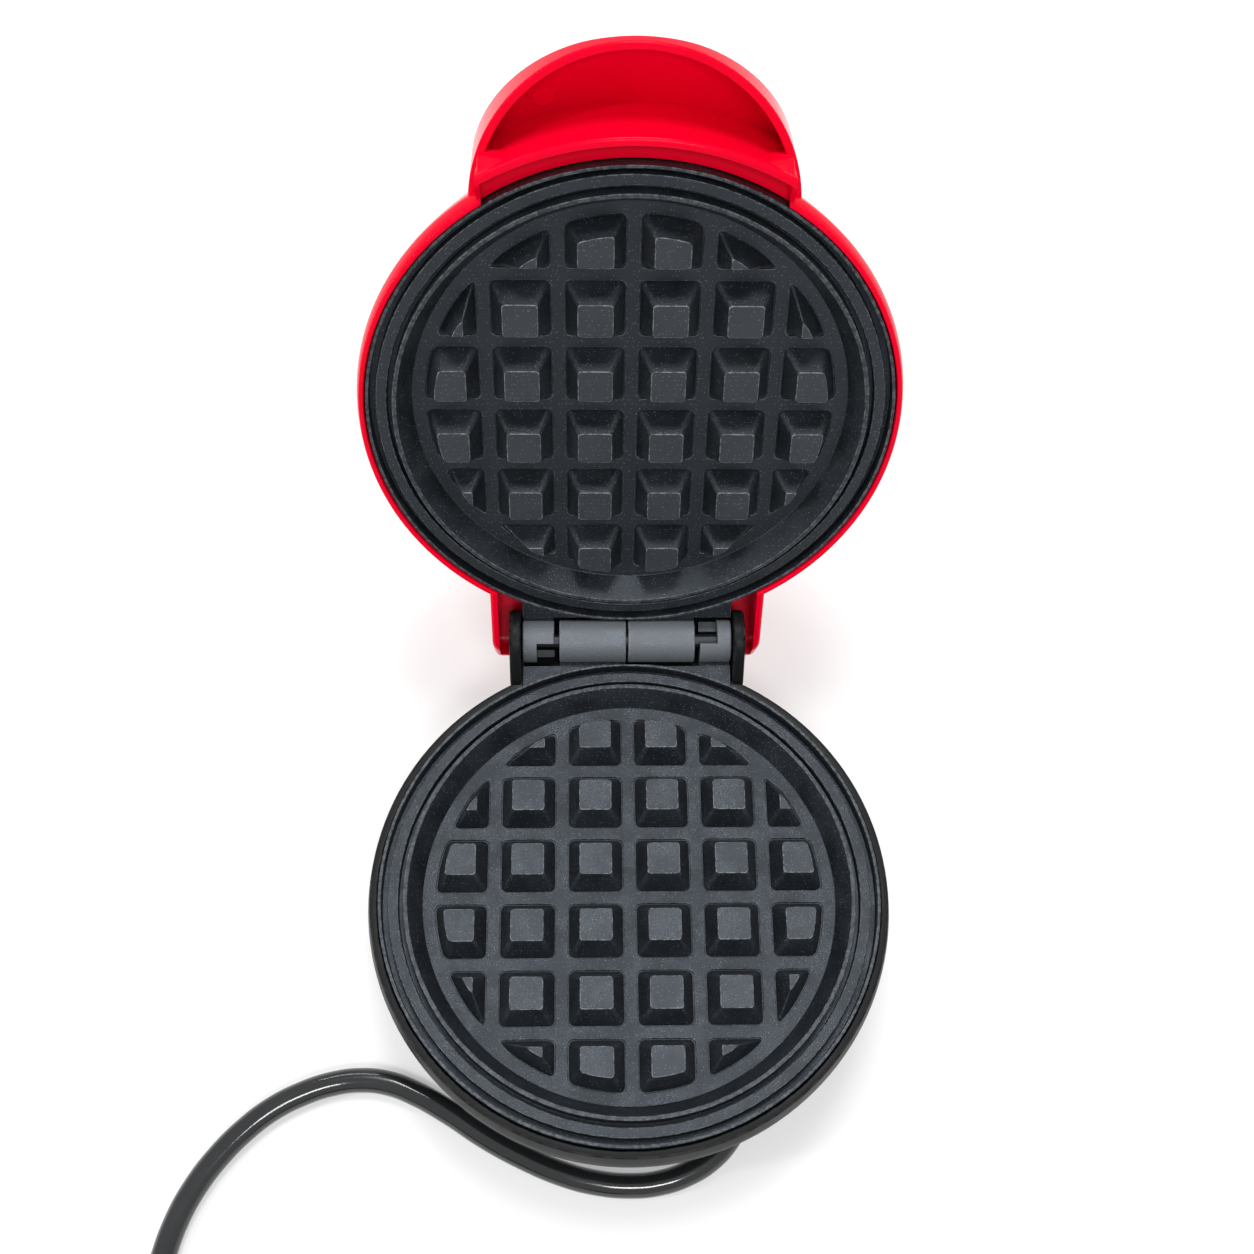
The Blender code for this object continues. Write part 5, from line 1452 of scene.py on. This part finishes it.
    def spread(self, name: str, half: float, levels: Profile) -> Object:
        """Model the whole, the sidelong and the cornering stud or pit once each, and copy them over the field.

        Args:
            name: What the copies are called.
            half: Half the width of a whole one.
            levels: The heights that it rises through.

        Returns:
            The whole field as one object.
        """
        step = self.pitch / 2
        radius = self.field_radius() + half - self.stud_half
        square = [(-half, -half), (half, -half), (half, half), (-half, half)]
        whole = Bench.stack(name, square, levels, (0.0, 0.0), (half, half), self.pit_corner)
        inner = [(x * step, y * step) for x in (-3, -1, 1, 3) for y in (-3, -1, 1, 3)]
        copies = [Bench.copy(whole, f"{name}_inner", (x, y, 0.0)) for x, y in inner]
        patterns = [whole]
        for row in (1, 3):
            near_x, near_y, far_y = 5 * step - half, row * step - half, row * step + half
            first, last = math.asin(near_y / radius), math.asin(far_y / radius)
            if radius * math.cos(last) < near_x + self.pit_corner:
                last -= self.corner_cut * (last - first)
            turns = [first + (last - first) * k / self.corner_steps for k in range(self.corner_steps + 1)]
            arc = [on_circle(radius, math.degrees(turn)) for turn in turns]
            outline = [(near_x, near_y), *arc, (near_x, far_y)]
            centre, reach = self.narrowing(near_x, near_y, radius, row == 1)
            if row == 1:
                centre, reach = (centre[0], step), (reach[0], half)
            edge = Bench.stack(f"{name}_edge_{row}", outline, levels, centre, reach, self.pit_corner)
            patterns.append(edge)
            for turn in (0.0, 90.0, 180.0, 270.0):
                copies += [Bench.copy(edge, f"{name}_outer", turn=turn, mirrored=flip) for flip in (False, True)]
        for pattern in patterns:
            Bench.pick(pattern)
            bpy.ops.object.delete()
        return Bench.join(copies[0], copies[1:])

    def model_tab(self, rim_under: float) -> Object:
        """Model the flat tab that carries the knuckles.

        Args:
            rim_under: How deep the underside of the rim is.

        Returns:
            The tab, clear of the dish.
        """
        at, under = self.radii(), -self.cavity_drop - self.wall
        edge = HINGE_DISTANCE - self.knuckle_radius - self.knuckle_clearance - SLIP
        low = (-self.tab_half, self.tab_share * at["ring_inner"], -rim_under + 2 * SLIP)
        tab = Bench.block("tab", low, (self.tab_half, edge, -self.tab_drop))
        Bench.soften(tab, self.edge_ease)
        dish = Bench.rod("dish", (0.0, 0.0, 0.0), at["groove_outer"], under, OVERRUN, steps=ROUND_STEPS)
        return Bench.work(tab, Joining.CUT, dish)

    def model_knuckle(self, rim_under: float, start: float, end: float) -> Object:
        """Model one barrel on the hinge axis with its neck.

        Args:
            rim_under: How deep the underside of the rim is.
            start: Where along X the barrel starts.
            end: Where it ends.

        Returns:
            The barrel and its neck as one solid.
        """
        hinge, radius = (0.0, HINGE_DISTANCE, 0.0), self.knuckle_radius
        barrel = Bench.rod("knuckle", hinge, radius, start, end, axis=Axis.X, steps=64)
        Bench.soften(barrel, self.knuckle_ease, steps=3, angle=60.0)
        low = (start + 2 * SLIP, HINGE_DISTANCE - radius - 3 * FIT_GAP, -rim_under + FIT_GAP)
        neck = Bench.block("neck", low, (end - 2 * SLIP, HINGE_DISTANCE - radius / 2, -self.neck_drop))
        Bench.soften(neck, self.edge_ease)
        return Bench.work(barrel, Joining.FUSE, neck)

    def model_bosses(self) -> list[Object]:
        """Model the screw bosses under the plate.

        Returns:
            The three screws' bosses, and the one for the element's clamp.
        """
        top, steps = -self.cavity_drop - self.wall / 2, self.boss_steps
        circle = self.radii()["cavity"] - self.boss_inset
        bosses = Bench.screw_rods("boss", circle, self.boss_radius, -self.boss_end, top, steps)
        clamp = (0.0, self.clamp_y, 0.0)
        bosses.append(Bench.rod("clamp_boss", clamp, self.clamp_radius, -self.clamp_end, top, steps=steps))
        for boss in bosses:
            Bench.soften(boss, self.edge_ease, steps=2, angle=60.0)
        return bosses

    def model_holes(self) -> list[Object]:
        """Model what is cut out: the notch over the pin, the pin's bore and the screw holes.

        Returns:
            The cutting tools.
        """
        reach = self.knuckle_radius + OVERRUN
        edge_y, edge_z = on_circle(reach, self.notch_angle)
        start = self.small_knuckle[0] - OVERRUN
        corners = [(0.0, 0.0), (reach, 0.0), (reach, reach), (edge_y, reach), (edge_y, edge_z)]
        outline = [(start, HINGE_DISTANCE + y, z) for y, z in corners]
        notch = Bench.prism("notch", outline, (self.notch_width + OVERRUN, 0.0, 0.0))
        half = self.tab_half + OVERRUN
        bore = Bench.rod("bore", (0.0, HINGE_DISTANCE, 0.0), self.bore, -half, half, axis=Axis.X, steps=40)
        circle = self.radii()["cavity"] - self.boss_inset
        low, high = -self.boss_end - OVERRUN, -self.boss_end + self.screw_bite
        holes = Bench.screw_rods("screw_hole", circle, SCREW_BORE, low, high)
        clamp = (0.0, self.clamp_y, 0.0)
        return [notch, bore, *holes, Bench.rod("clamp_hole", clamp, SCREW_BORE, *self.clamp_hole, steps=SCREW_STEPS)]


@dataclass
class RoundMoulding:
    """What the base's housing and the lid's shell share: their size round a plate, and the seat that it rests on."""

    plate_radius: float = 0.0572
    radius: float = 0.0600
    seat_width: float = 0.0016
    seat_drop: float = 0.0055
    seat_thickness: float = 0.0018

    @property
    def bore(self) -> float:
        """Return the radius of the opening that takes the plate."""
        return self.plate_radius + FIT_GAP

    @property
    def seat_bore(self) -> float:
        """Return the radius of the seat's inner edge."""
        return self.plate_radius - self.seat_width


@dataclass
class BaseHousing(RoundMoulding):
    """The black moulding round the lower plate, with the hinge lugs and the web under the hinge."""

    top_drop: float = 0.0026
    wall: float = 0.0021
    foot_radius: float = 0.0530
    foot_drop: float = 0.0265
    edge_ease: float = 0.0004
    cover_radius: float = 0.0510
    cover_top_drop: float = 0.0245
    flange_inner: float = 0.0385
    flange_top_drop: float = 0.0224
    side_shares: Profile = ((0.995, 0.10), (1.0, 0.22), (0.99, 0.48), (0.957, 0.74), (0.915, 0.93))
    lug_inner: float = 0.0254
    lug_width: float = 0.0027
    lug_radius: float = 0.0075
    lug_steps: int = 48
    lug_ease: float = 0.0009
    web_top: float = -0.00575
    web_thickness: float = 0.0014
    web_reach: float = 0.0015
    trough_radius: float = 0.0060
    trough_wall: float = 0.0010
    trough_start: float = -100.0
    trough_end: float = 8.0
    trough_steps: int = 14
    tab_half: float = 0.0250
    tab_gap_start: float = 0.0420
    screw_circle: float = 0.0430

    def profile(self) -> list[tuple[float, float]]:
        """Return the wall's closed section: down its outside, up its inside.

        Returns:
            The section's points as (radius, height).
        """
        depth = self.foot_drop - self.top_drop
        side = [(radius * self.radius, -self.top_drop - share * depth) for radius, share in self.side_shares]
        knots = [(self.radius - self.seat_width / 2, -self.top_drop), *side, (self.foot_radius, -self.foot_drop)]
        outside = [(point.x, point.y) for point in smooth_line([(*knot, 0.0) for knot in knots], steps=4)]
        inside = [(radius - self.wall, height) for radius, height in side[2:4]]
        skirt_bore = self.cover_radius + FIT_GAP
        section = [
            (self.bore, -self.top_drop),
            *outside,
            (skirt_bore, -self.foot_drop),
            (skirt_bore, -self.cover_top_drop + FIT_GAP),
            (self.flange_inner, -self.cover_top_drop + FIT_GAP),
            (self.flange_inner, -self.flange_top_drop),
            (skirt_bore, -self.flange_top_drop),
            *reversed(inside),
            (self.seat_bore, -self.seat_drop - self.seat_thickness),
            (self.seat_bore, -self.seat_drop),
            (self.bore, -self.seat_drop),
        ]
        return looped(section)

    def build(self) -> Object:
        """Build the housing, round its edges, dress it and hang it on the base.

        Returns:
            The finished housing.
        """
        housing = Bench.turned("housing", self.profile(), ease=self.edge_ease)
        lug_foot = math.sqrt(self.bore**2 - self.lug_inner**2) + FIT_GAP
        for side in (-1.0, 1.0):
            Bench.work(housing, Joining.FUSE, self.model_lug(side, lug_foot))
        Bench.work(housing, Joining.FUSE, self.model_web(lug_foot), self.model_trough())
        tab_gap = Bench.block(
            "tab_gap",
            (-self.tab_half - FIT_GAP, self.tab_gap_start, -self.seat_drop),
            (self.tab_half + FIT_GAP, HINGE_DISTANCE + OVERRUN, OVERRUN),
        )
        low, high = -self.cover_top_drop - OVERRUN, -self.flange_top_drop + OVERRUN
        holes = Bench.screw_rods("screw_hole", self.screw_circle, SCREW_BORE, low, high)
        Bench.work(housing, Joining.CUT, tab_gap, *holes)
        Bench.tidy(housing)
        Bench.shade(housing)
        Bench.mark_edges(housing)
        Bench.place(housing, lower_place())
        BLACK_SATIN.dress(housing)
        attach(housing, "base")
        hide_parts("base_housing")
        LOG.info("housing: %d faces", len(housing.data.polygons))
        return housing

    def model_lug(self, side: float, foot: float) -> Object:
        """Model one lug that carries an end of the hinge.

        Args:
            side: -1 for the left lug and 1 for the right.
            foot: Where on Y it meets the wall.

        Returns:
            The lug.
        """
        inner, outer = side * self.lug_inner, side * (self.lug_inner + self.lug_width)
        points = []
        for x in sorted((inner, outer)):
            ring = [on_circle(self.lug_radius, 360 * k / self.lug_steps) for k in range(self.lug_steps)]
            points += [(x, HINGE_DISTANCE + y, z) for y, z in ring]
            points += [(x, foot, z) for z in (-self.top_drop - FIT_GAP, -self.lug_radius - self.wall)]
        lug = Bench.wrap("lug", points)
        Bench.soften(lug, self.lug_ease, steps=4, angle=40.0)
        return lug

    def model_web(self, foot: float) -> Object:
        """Model the web between the lugs, under the knuckles.

        Args:
            foot: Where on Y the lugs meet the wall.

        Returns:
            The web.
        """
        half = self.lug_inner + self.lug_width / 2
        low = self.web_top - self.web_thickness
        web = Bench.block("web", (-half, foot, low), (half, HINGE_DISTANCE + self.web_reach, self.web_top))
        inner, top = self.bore - self.seat_width / 2, self.web_top + OVERRUN
        trim = Bench.rod("web_trim", (0.0, 0.0, 0.0), inner, low - OVERRUN, top, steps=ROUND_STEPS)
        return Bench.work(web, Joining.CUT, trim)

    def model_trough(self) -> Object:
        """Model the thin trough that closes the hinge off behind the barrels, from lug to lug.

        Returns:
            The trough.
        """
        half = self.lug_inner + self.lug_width / 2
        start, turn, steps = self.trough_start, self.trough_end - self.trough_start, self.trough_steps
        angles = [start + turn * k / steps for k in range(steps + 1)]
        inner = [on_circle(self.trough_radius, angle) for angle in angles]
        outer = [on_circle(self.trough_radius + self.trough_wall, angle) for angle in reversed(angles)]
        outline = [(-half, HINGE_DISTANCE + y, z) for y, z in (*inner, *outer)]
        return Bench.prism("trough", outline, (2 * half, 0.0, 0.0))


@dataclass
class LidShell(RoundMoulding):
    """The red lid: a dome with a visor handle at the front and a hood over the hinge. Heights are above its rim."""

    height: float = 0.0355
    wall: float = 0.0022
    dome_shares: Profile = (
        (0.975, 0.017),
        (0.984, 0.075),
        (0.984, 0.150),
        (0.952, 0.330),
        (0.905, 0.560),
        (0.835, 0.745),
        (0.690, 0.885),
        (0.410, 0.972),
        (0.0, 1.0),
    )
    rim_knots: int = 3
    wall_ease: float = 0.00035
    handle_reach: float = 0.0798
    handle_half: float = 0.0312
    handle_radius: float = 0.0331
    handle_steps: int = 120
    rim_level: float = 0.0040
    rim_width: float = 0.0018
    edge_height: float = 0.0026
    root_radius: float = 0.0555
    root_level: float = 0.0240
    brim_shares: Profile = ((0.0, 1.0), (0.28, 0.71), (0.62, 0.39), (0.92, 0.11), (1.0, 0.0))
    land_share: float = 0.74
    handle_thickness: float = 0.0024
    handle_bottom: float = -0.0197
    skirt_inner: float = 0.0617
    skirt_wall: float = 0.0020
    skirt_drop: float = 0.0012
    skirt_half: float = 0.0303
    ledge_level: float = 0.0039
    ledge_inset: float = 0.0021
    hood_half: float = 0.0325
    hood_length: float = 0.0260
    hood_wall: float = 0.0017
    hood_back: float = 0.0097
    hood_edge_start: float = 0.0032
    hood_edge_rise: float = 0.0056
    hood_back_top: float = 0.0092
    hood_crest_share: float = 0.73
    hood_slope: Profile = ((-0.29, 0.14), (0.08, 0.47), (0.46, 0.88), (1.0, 1.0))
    lens_y: float = 0.0180
    lens_radius: float = 0.0040
    rim_ease: float = 0.00045
    skirt_ease: float = 0.0008
    hood_ease: float = 0.0009
    hood_corner: float = 0.0020
    mark_place: tuple[float, float] = (-0.0180, -0.0658)
    mark_radius: float = 0.0024
    mark_lean: float = 0.85

    def dome_line(self, lowered: float) -> list[tuple[float, float]]:
        """Return a smooth line over the dome at a depth in its wall, from its crown outwards.

        Args:
            lowered: How deep in the wall the line lies.

        Returns:
            The line as (radius, height).
        """
        inset, drop = lowered / self.radius, lowered / self.height
        shares = self.dome_shares if lowered == 0.0 else self.dome_shares[self.rim_knots:]
        knots = [
            (max(radius - inset, 0.0) * self.radius, share * (1 - drop) * self.height, 0.0)
            for radius, share in reversed(shares)
        ]
        line = [(max(point.x, 0.0), point.y) for point in smooth_line(knots, steps=6)]
        line[0] = (0.0, line[0][1])
        return line

    def section(self) -> list[tuple[float, float]]:
        """Return the shell's wall as one line, down the outside and up the inside.

        Returns:
            The line's points as (radius, height), with both ends on the axis.
        """
        rim = [
            (self.bore, self.dome_shares[0][1] * self.height),
            (self.bore, self.seat_drop),
            (self.seat_bore, self.seat_drop),
            (self.seat_bore, self.seat_drop + self.seat_thickness),
        ]
        return [*self.dome_line(0.0), *rim, *reversed(self.dome_line(self.wall))]

    def core(self) -> Object:
        """Model what ends halfway through the wall, for trimming what joins the dome.

        Returns:
            The tool that trims.
        """
        middle = self.plate_radius + 2 * FIT_GAP
        shoulder = self.seat_drop + self.seat_thickness / 2
        line = [*self.dome_line(self.wall / 2), (middle, shoulder), (middle, -OVERRUN), (0.0, -OVERRUN)]
        return Bench.turned("core", line, offset=True)

    @property
    def handle_centre(self) -> float:
        """Return where on Y the centre of the handle's circle is."""
        return self.handle_radius - self.handle_reach

    def outline(self) -> list[tuple[float, float, float]]:
        """Return the handle's circle in plan, at the level of its rim."""
        circle = [on_circle(self.handle_radius, 360 * k / self.handle_steps) for k in range(self.handle_steps)]
        return [(x, self.handle_centre + y, self.rim_level) for x, y in circle]

    def brim_line(self, lowered: float) -> list[tuple[float, float]]:
        """Return the handle's top as a turned line, from its root on the dome out past its edge.

        Args:
            lowered: How far below the top the line lies.

        Returns:
            The line as (radius, height).
        """
        edge = self.rim_level + self.edge_height
        span = self.handle_reach - self.root_radius
        rise = self.root_level - edge
        knots = [(self.root_radius + out * span, edge + up * rise - lowered, 0.0) for out, up in self.brim_shares]
        line = [(point.x, point.y) for point in smooth_line(knots, steps=4)]
        far = self.handle_reach + OVERRUN
        return [*line, (far, edge - OVERRUN - lowered), (far, self.handle_bottom)]

    def build(self) -> Object:
        """Build the outer form, cut its hollows, round its edges and hang it on the lid.

        Returns:
            The finished shell.
        """
        shell = Bench.turned("shell", self.section(), ease=self.wall_ease)
        Bench.work(shell, Joining.FUSE, self.model_handle(), self.model_skirt(), self.model_hood())
        Bench.work(shell, Joining.CUT, self.model_recess())
        Bench.work(shell, Joining.FUSE, *[self.model_land(side) for side in (-1.0, 1.0)], self.model_mark())
        lens, lens_bore = (0.0, self.lens_y, 0.0), self.lens_radius + FIT_GAP
        lens_hole = Bench.rod("lens_hole", lens, lens_bore, self.height / 2, self.height + OVERRUN)
        Bench.work(shell, Joining.CUT, self.model_groove(), self.model_hood_hollow(), lens_hole)
        Bench.tidy(shell)
        Bench.shade(shell)
        Bench.place(shell, lid_place())
        RED_SHELL.dress(shell)
        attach(shell, "lid")
        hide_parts("lid_shell")
        LOG.info("shell: %d faces", len(shell.data.polygons))
        return shell

    def model_handle(self) -> Object:
        """Model the visor as its plan kept under a turned brim, outside the dome.

        Returns:
            The visor, trimmed to the dome.
        """
        handle = Bench.prism("handle", self.outline(), (0.0, 0.0, self.height - self.rim_level))
        brim = Bench.turned("brim", [(0.0, self.root_level), *self.brim_line(0.0), (0.0, self.handle_bottom)])
        Bench.work(handle, Joining.KEEP, brim)
        centre = Vector((0.0, self.handle_centre))

        def on_edge(edge: bmesh.types.BMEdge) -> bool:
            """Say whether an edge is the outer edge of the handle's rim.

            Args:
                edge: An edge of the visor.

            Returns:
                Whether it is to be rounded.
            """
            ends = [vert.co for vert in edge.verts]
            level = all(abs(end.z - self.rim_level) < SLIP for end in ends)
            return level and all(abs((end.xy - centre).length - self.handle_radius) < TOLERANCE for end in ends)

        Bench.bevel_where(handle, self.rim_ease, steps=3, test=on_edge)
        return Bench.work(handle, Joining.CUT, self.core())

    def model_skirt(self) -> Object:
        """Model the skirt that hangs in front of the base's rim.

        Returns:
            The skirt, cut to the width of the visor.
        """
        outer = self.skirt_inner + self.skirt_wall
        top = self.rim_level + self.edge_height
        inner = self.plate_radius + self.seat_width / 2
        rim = self.dome_shares[0][1] * self.height
        section = [
            (outer, top),
            (outer, -self.skirt_drop),
            (self.skirt_inner, -self.skirt_drop),
            (inner, rim + self.seat_width),
            (inner, top),
        ]
        skirt = Bench.turned("skirt", looped(section), ease=self.skirt_ease)
        span = Bench.block(
            "span",
            (-self.handle_half, -self.handle_reach, -self.skirt_drop - OVERRUN),
            (self.handle_half, 0.0, self.root_level + OVERRUN),
        )
        return Bench.work(skirt, Joining.KEEP, span)

    def model_land(self, side: float) -> Object:
        """Model the sloping land that joins the handle's rim to an end of the skirt.

        Args:
            side: -1 for the left land and 1 for the right.

        Returns:
            The land.
        """
        x = self.handle_half - FIT_GAP
        inner_edge = x - self.rim_width
        outer = self.handle_radius - FIT_GAP
        inner = self.handle_radius - self.rim_width
        centre = self.handle_centre
        skirt = self.skirt_inner + self.skirt_wall / 2
        inner_x = self.land_share * self.handle_half
        foot = [(x, -math.sqrt(skirt**2 - x**2)), (inner_x, -math.sqrt(skirt**2 - inner_x**2))]
        rim = [
            (x, centre - math.sqrt(outer**2 - x**2)),
            (inner_edge, centre - math.sqrt(inner**2 - inner_edge**2)),
        ]
        top = self.rim_level + self.edge_height / 2
        points = [(side * px, py, level) for px, py in foot for level in (-self.skirt_drop, top)]
        points += [(side * px, py, level) for px, py in rim for level in (self.rim_level, top)]
        land = Bench.wrap("land", points)
        Bench.soften(land, self.rim_ease, steps=3, angle=40.0)
        return land

    def model_recess(self) -> Object:
        """Model the hollow under the visor, inside its rim.

        Returns:
            The tool that cuts it.
        """
        radius = self.handle_radius - self.rim_width
        ease = self.rim_ease
        line = [
            (0.0, self.handle_bottom),
            (radius + ease, self.handle_bottom),
            (radius + ease, self.rim_level),
            (radius + ease / 3, self.rim_level + ease / 3),
            (radius, self.rim_level + ease),
            (radius, self.root_level),
            (0.0, self.root_level),
        ]
        recess = Bench.turned("recess", line, steps=self.handle_steps)
        recess.location.y = self.handle_centre
        Bench.settle(recess)
        hollow = self.skirt_inner + self.skirt_wall - 2 * SLIP
        level, _ = self.roof_at(hollow)
        beyond = [point for point in self.brim_line(self.handle_thickness) if point[0] > hollow + self.rim_ease]
        section = [(hollow, level), *beyond, (hollow, self.handle_bottom)]
        return Bench.work(recess, Joining.KEEP, Bench.turned("recess_ring", looped(section), offset=True))

    def roof_at(self, radius: float) -> tuple[float, float]:
        """Return the level of the visor's underside at a radius, and how steeply it falls there.

        Args:
            radius: The distance from the dome's axis.

        Returns:
            The level, and the fall for each metre out.
        """
        line = self.brim_line(self.handle_thickness)
        near, far = next(pair for pair in zip(line, line[1:]) if pair[1][0] > radius)
        fall = (near[1] - far[1]) / (far[0] - near[0])
        return near[1] - (radius - near[0]) * fall, fall

    def model_mark(self) -> Object:
        """Model the low round pad that the mould's pin leaves under the visor.

        Returns:
            The pad, lying on the visor's underside.
        """
        x, y = self.mark_place
        level, fall = self.roof_at(math.hypot(x, y))
        pad = Bench.rod("mark", (0.0, 0.0, 0.0), self.mark_radius, -FIT_GAP, 3 * FIT_GAP, steps=40)
        around = Matrix.Rotation(math.atan2(y, x), 4, "Z")
        lean = Matrix.Rotation(self.mark_lean * math.atan(fall), 4, "Y")
        pad.matrix_world = Matrix.Translation((x, y, level)) @ around @ lean
        Bench.settle(pad)
        return pad

    def model_groove(self) -> Object:
        """Model the clearance behind the skirt for the base's rim.

        Returns:
            The tool that cuts it.
        """
        outer = self.skirt_inner + FIT_GAP
        inner = self.bore - self.ledge_inset
        section = [
            (outer, self.ledge_level),
            (outer, -self.skirt_drop - OVERRUN),
            (inner, -self.skirt_drop - OVERRUN),
            (inner, self.ledge_level),
        ]
        groove = Bench.turned("groove", looped(section), offset=True)
        span = Bench.block(
            "groove_span",
            (-self.skirt_half, -self.handle_reach, -self.skirt_drop - 2 * OVERRUN),
            (self.skirt_half, 0.0, self.seat_drop + OVERRUN),
        )
        return Bench.work(groove, Joining.KEEP, span)

    def hood_line(self) -> list[tuple[float, float]]:
        """Return the hood's top as seen from the side, from its back to the dome.

        Returns:
            The line's points as (y, z).
        """
        crest = self.hood_crest_share * self.height
        return [
            (HINGE_DISTANCE - out * self.hood_length, self.hood_back_top + up * (crest - self.hood_back_top))
            for out, up in self.hood_slope
        ]

    def model_hood(self) -> Object:
        """Model the hood over the hinge, trimmed to the dome.

        Returns:
            The solid hood, trimmed to the dome.
        """
        front = HINGE_DISTANCE - self.hood_length
        back = HINGE_DISTANCE + self.hood_back
        outline = [
            (front, FIT_GAP),
            (HINGE_DISTANCE + self.hood_edge_start, FIT_GAP),
            (back, self.hood_edge_rise),
            (back, self.hood_back_top),
            *self.hood_line(),
        ]
        hood = Bench.prism("hood", [(-self.hood_half, y, z) for y, z in outline], (2 * self.hood_half, 0.0, 0.0))

        def at_corner(edge: bmesh.types.BMEdge) -> bool:
            """Say whether an edge runs up one of the hood's rear corners.

            Args:
                edge: An edge of the hood.

            Returns:
                Whether it is to be rounded.
            """
            top = self.hood_back_top + FIT_GAP
            behind = all(vert.co.y > HINGE_DISTANCE and vert.co.z < top for vert in edge.verts)
            return behind and span_of(edge).z > SHORTEST_SPAN

        Bench.bevel_where(hood, self.hood_corner, steps=5, test=at_corner)
        Bench.soften(hood, self.hood_ease, steps=4, angle=25.0, clamp=True)
        return Bench.work(hood, Joining.CUT, self.core())

    def model_hood_hollow(self) -> Object:
        """Model the hollow of the hood, which takes the hinge.

        Returns:
            The tool that cuts it.
        """
        front = HINGE_DISTANCE - self.hood_length - OVERRUN
        back = HINGE_DISTANCE + self.hood_back - self.hood_wall
        line = self.hood_line()
        half = self.hood_half - self.hood_wall
        outline = [
            (front, -OVERRUN),
            (back, -OVERRUN),
            (back, self.hood_back_top - self.hood_wall / 2),
            *[(y - self.hood_wall / 2, z - self.hood_wall) for y, z in line[:-1]],
            (front, line[-1][1] - self.hood_wall),
        ]
        return Bench.prism("hood_hollow", [(-half, y, z) for y, z in outline], (2 * half, 0.0, 0.0))


@dataclass
class Fittings:
    """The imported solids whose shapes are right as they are, with the finish that each gets."""

    finishes: dict[str, Finish] = field(
        default_factory=lambda: {
            "bottom_cover": BLACK_SATIN,
            "foot_pad": FOOT_RUBBER,
            "cover_screw": ZINC_STEEL,
            "shield_screw": ZINC_STEEL,
            "clamp_screw": ZINC_STEEL,
            "element_clamp": ZINC_STEEL,
            "heating_element": DARK_STEEL,
            "hinge_pin": BLACK_OXIDE,
            "heat_shield": BRIGHT_SHEET,
            "thermostat_lead": BROWN_LEAD,
            "thermostat": PHENOLIC,
            "thermal_fuse": FUSE_SLEEVE,
            "fuse_lead": BLUE_LEAD,
            "terminal_block": NYLON,
            "cord_lead_live": BROWN_LEAD,
            "cord_lead_neutral": BLUE_LEAD,
            "strain_relief": PLUG_SKIN,
            "indicator_lens": AMBER_LENS,
            "indicator_lamp": LAMP_GLASS,
        }
    )

    def build(self, replaced: Sequence[str]) -> None:
        """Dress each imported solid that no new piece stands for.

        Args:
            replaced: The nodes that new pieces stand for.
        """
        for name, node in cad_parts.items():
            if name in replaced:
                continue
            match = next((finish for part, finish in self.finishes.items() if part in name), None)
            if match is None:
                LOG.warning("no finish for %s", name)
                continue
            match.dress(node)
        LOG.info("fittings dressed")


REPLACED = (
    "power_cord",
    "power_cord_coil",
    "plug_body",
    "plug_blade_left",
    "plug_blade_right",
    "lower_waffle_plate",
    "upper_waffle_plate",
    "base_housing",
    "lid_shell",
)


def main() -> None:
    """Build the scene, piece by piece."""
    logging.basicConfig(level=logging.INFO, format="%(name)s: %(message)s")
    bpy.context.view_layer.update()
    bpy.context.scene.view_settings.view_transform = "Standard"
    Studio().build()
    MainsCord().build()
    BaseHousing().build()
    WafflePlate("lower_plate", "lower_waffle_plate", "base", lower_place(), COATING).build()
    WafflePlate("upper_plate", "upper_waffle_plate", "lid", upper_place(), COATING).build()
    LidShell().build()
    Fittings().build(REPLACED)


if __name__ == "__main__":
    main()
